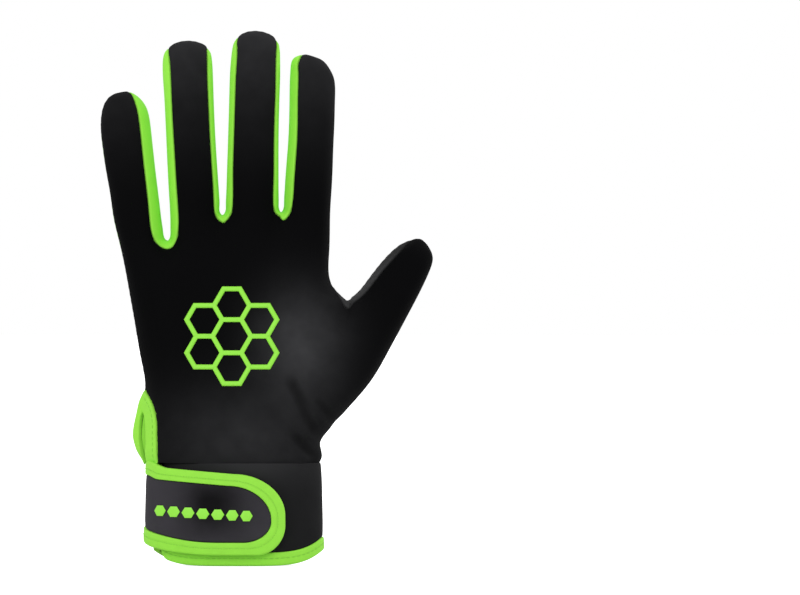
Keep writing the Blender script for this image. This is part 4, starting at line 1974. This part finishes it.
class GLOVE_OT_strap_tape(bpy.types.Operator):
    """Bind the strap's edge and round end"""

    bl_idname = "glove.strap_tape"
    bl_label = "Strap tape"

    def execute(self, context):
        sizes = context.scene.glove_sizes
        inner, outer = strap_edge_lines(130, 50)
        lift = strap_lift(inner[:, 0]) + EDGE["stand"]
        points, faces, cloth = tape_piece(inner, outer, lift, EDGE["wall"], sizes)
        finish = green_tape_finish(context.scene.glove_colours)
        add_piece("strap_tape", (points, faces), finish, ["strap_binding"], {"cloth": cloth})
        return {"FINISHED"}


class GLOVE_OT_prints(bpy.types.Operator):
    """Press the honeycomb on the back and the row of cells on the strap"""

    bl_idname = "glove.prints"
    bl_label = "Prints"

    def execute(self, context):
        finish = print_finish(context.scene.glove_colours)
        flat, quads = honeycomb_quads(9, 4)
        tree = tree_of("back_cloth")
        places = []
        outs = []
        for x, z in flat:
            start = Vector((PRINT["x"] + x, -80, PRINT["z"] + z))
            place, normal, _, _ = tree.ray_cast(start, Vector((0, 1, 0)))
            places.append(place)
            outs.append(normal)
        places = np.array(places)
        outs = np.array(outs)
        border = sorted({end for edge in open_edges(quads) for end in edge})
        edge = distance_to(places.tolist(), places[border].tolist())
        lift = PRINT["lift"] + PRINT["wall"] - rolled(edge, 0.4)
        points = np.concatenate((places + outs * lift[:, None], places + outs * PRINT["lift"] * 0.3))
        add_piece("honeycomb_print", (points, shell_faces(quads, len(places))), finish,
                  ["back_print"])
        self.strap_cells(finish)
        return {"FINISHED"}

    def strap_cells(self, finish):
        tree = tree_of("strap_core")
        cells = []
        for i in range(STRAP_PRINT["count"]):
            place = i / (STRAP_PRINT["count"] - 1)
            along = lerp(STRAP_PRINT["from"], STRAP_PRINT["to"], place)
            height = lerp(STRAP_PRINT["z0"], STRAP_PRINT["z1"], place)
            rings = []
            for share, lift in ((1.0, 0.0), (1.0, 0.75), (0.9, 1.0), (0.45, 1.05)):
                corners = [hexagon_corner(k / 2, 1) if k % 2 == 0 else None for k in range(12)]
                for k in range(1, 12, 2):
                    before = corners[k - 1]
                    after = corners[(k + 1) % 12]
                    corners[k] = ((before[0] + after[0]) / 2, (before[1] + after[1]) / 2)
                size = STRAP_PRINT["cell"] * share
                flat = [(along + size * x, height + size * z) for x, z in corners]
                guess = cuff_points([p[0] for p in flat], [p[1] for p in flat], 6.0)
                rings.append(seated(tree, guess, STRAP_PRINT["lift"] + STRAP_PRINT["wall"] * lift)[0])
            points = np.concatenate(rings)
            cells.append((points, tube_faces(len(rings), 12)))
        add_piece("strap_cells", joined(cells), finish)


class GLOVE_OT_piping(bpy.types.Operator):
    """Sew the thin green cord along the little finger's outer edge"""

    bl_idname = "glove.piping"
    bl_label = "Piping"

    def execute(self, context):
        sizes = context.scene.glove_sizes
        hand = the_hand()
        walk = seam_walk(hand, "back_panel", hand.names["little_edge"], hand.names["little_tip"])
        line = smoothed_line(hand.points[walk], 4) + (0, PIPING["aside"], 0)
        line = line[(line[:, 2] > PIPING["from"]) & (line[:, 2] < PIPING["to"])]
        place, out = resampled(*seated(tree_of("palm_foam"), line, 0), 0.5)
        share = np.linspace(0, 1, len(place))
        taper = np.clip(np.minimum(share, 1 - share) / PIPING["taper"], 0.25, 1)
        radius = sizes.piping_width / MM / 2 * taper
        centres = place - out * (0.25 + 0.3 * (1 - taper))[:, None]
        shape = thread_tube(centres, out, radius, 10)
        finish = green_cloth_finish(context.scene.glove_colours)
        add_piece("little_finger_piping", shape, finish,
                  numbers={"seam": np.full(len(shape[0]), 5.0)})
        return {"FINISHED"}


class GLOVE_OT_stitching(bpy.types.Operator):
    """Run the rows of stitches on the tapes and beside the palm's notch"""

    bl_idname = "glove.stitching"
    bl_label = "Stitching"

    def execute(self, context):
        colours = context.scene.glove_colours
        sizes = context.scene.glove_sizes
        rng = random.Random(11)
        green = thread_finish("green thread", colours.thread_green)
        grey = thread_finish("grey thread", colours.thread_grey)

        inner, outer = hem_lines(300)
        share = STITCH_INSET / BINDING_WIDTH
        line = inner * (1 - share) + outer * share
        guess = cuff_points(line[:, 0], line[:, 1], HEM["stand"] + 1)
        row = stitch_row(*seated(tree_of("hem_tape"), guess, 0), sizes, rng)
        add_piece("hem_stitches", row, green)

        inner, outer = strap_edge_lines(110, 44)
        line = inner * (1 - share) + outer * share
        guess = cuff_points(line[:, 0], line[:, 1], strap_lift(line[:, 0]) + EDGE["stand"] + 1)
        row = stitch_row(*seated(tree_of("strap_tape"), guess, 0), sizes, rng)
        add_piece("strap_stitches", row, green)
        self.seam_stitches("vent", "vent_binding", ("slit_back", "slit_top"), "vent_tape", green, rng)
        self.seam_stitches("notch", "palm_panel", ("notch_top", "notch_end"), "palm_foam", grey, rng)
        return {"FINISHED"}

    def seam_stitches(self, name, cad_node, ends, piece, thread, rng):
        """A row beside a piece's open edge, from one named point of the hand to another."""
        hand = the_hand()
        walk = seam_walk(hand, cad_node, *(hand.names[end] for end in ends))
        line = moved_in(hand.points[walk], hand.normals[walk], STITCH_INSETS[name])
        row = stitch_row(*seated(tree_of(piece), line, 0), bpy.context.scene.glove_sizes, rng)
        add_piece(name + "_stitches", row, thread)


class GLOVE_PT_pieces(bpy.types.Panel):
    """The glove's pieces, sizes and colours"""

    bl_idname = "GLOVE_PT_pieces"
    bl_label = "Gaelic football glove"
    bl_space_type = "VIEW_3D"
    bl_region_type = "UI"
    bl_category = "Glove"

    def draw(self, context):
        layout = self.layout
        for operator in OPERATORS:
            layout.operator(operator.bl_idname)
        for group in GROUPS:
            layout.separator()
            settings = getattr(context.scene, group)
            for name in settings.__annotations__:
                layout.prop(settings, name)


OPERATORS = (
    GLOVE_OT_stage,
    GLOVE_OT_hand_panels,
    GLOVE_OT_side_strips,
    GLOVE_OT_thumb_gusset,
    GLOVE_OT_vent_tape,
    GLOVE_OT_cuff,
    GLOVE_OT_hem_tape,
    GLOVE_OT_loop_pile,
    GLOVE_OT_strap,
    GLOVE_OT_strap_tape,
    GLOVE_OT_prints,
    GLOVE_OT_piping,
    GLOVE_OT_stitching,
)
GROUPS = {"glove_colours": GloveColours, "glove_sizes": GloveSizes, "glove_stage": GloveStage}


def register():
    for kind in (*GROUPS.values(), *OPERATORS, GLOVE_PT_pieces):
        bpy.utils.register_class(kind)
    for name, kind in GROUPS.items():
        setattr(bpy.types.Scene, name, bpy.props.PointerProperty(type=kind))


def unregister():
    for name in GROUPS:
        delattr(bpy.types.Scene, name)
    for kind in reversed((*GROUPS.values(), *OPERATORS, GLOVE_PT_pieces)):
        bpy.utils.unregister_class(kind)


def main():
    register()
    for operator in OPERATORS:
        name = operator.bl_idname.split(".")[1]
        getattr(bpy.ops.glove, name)()


if __name__ == "__main__":
    main()
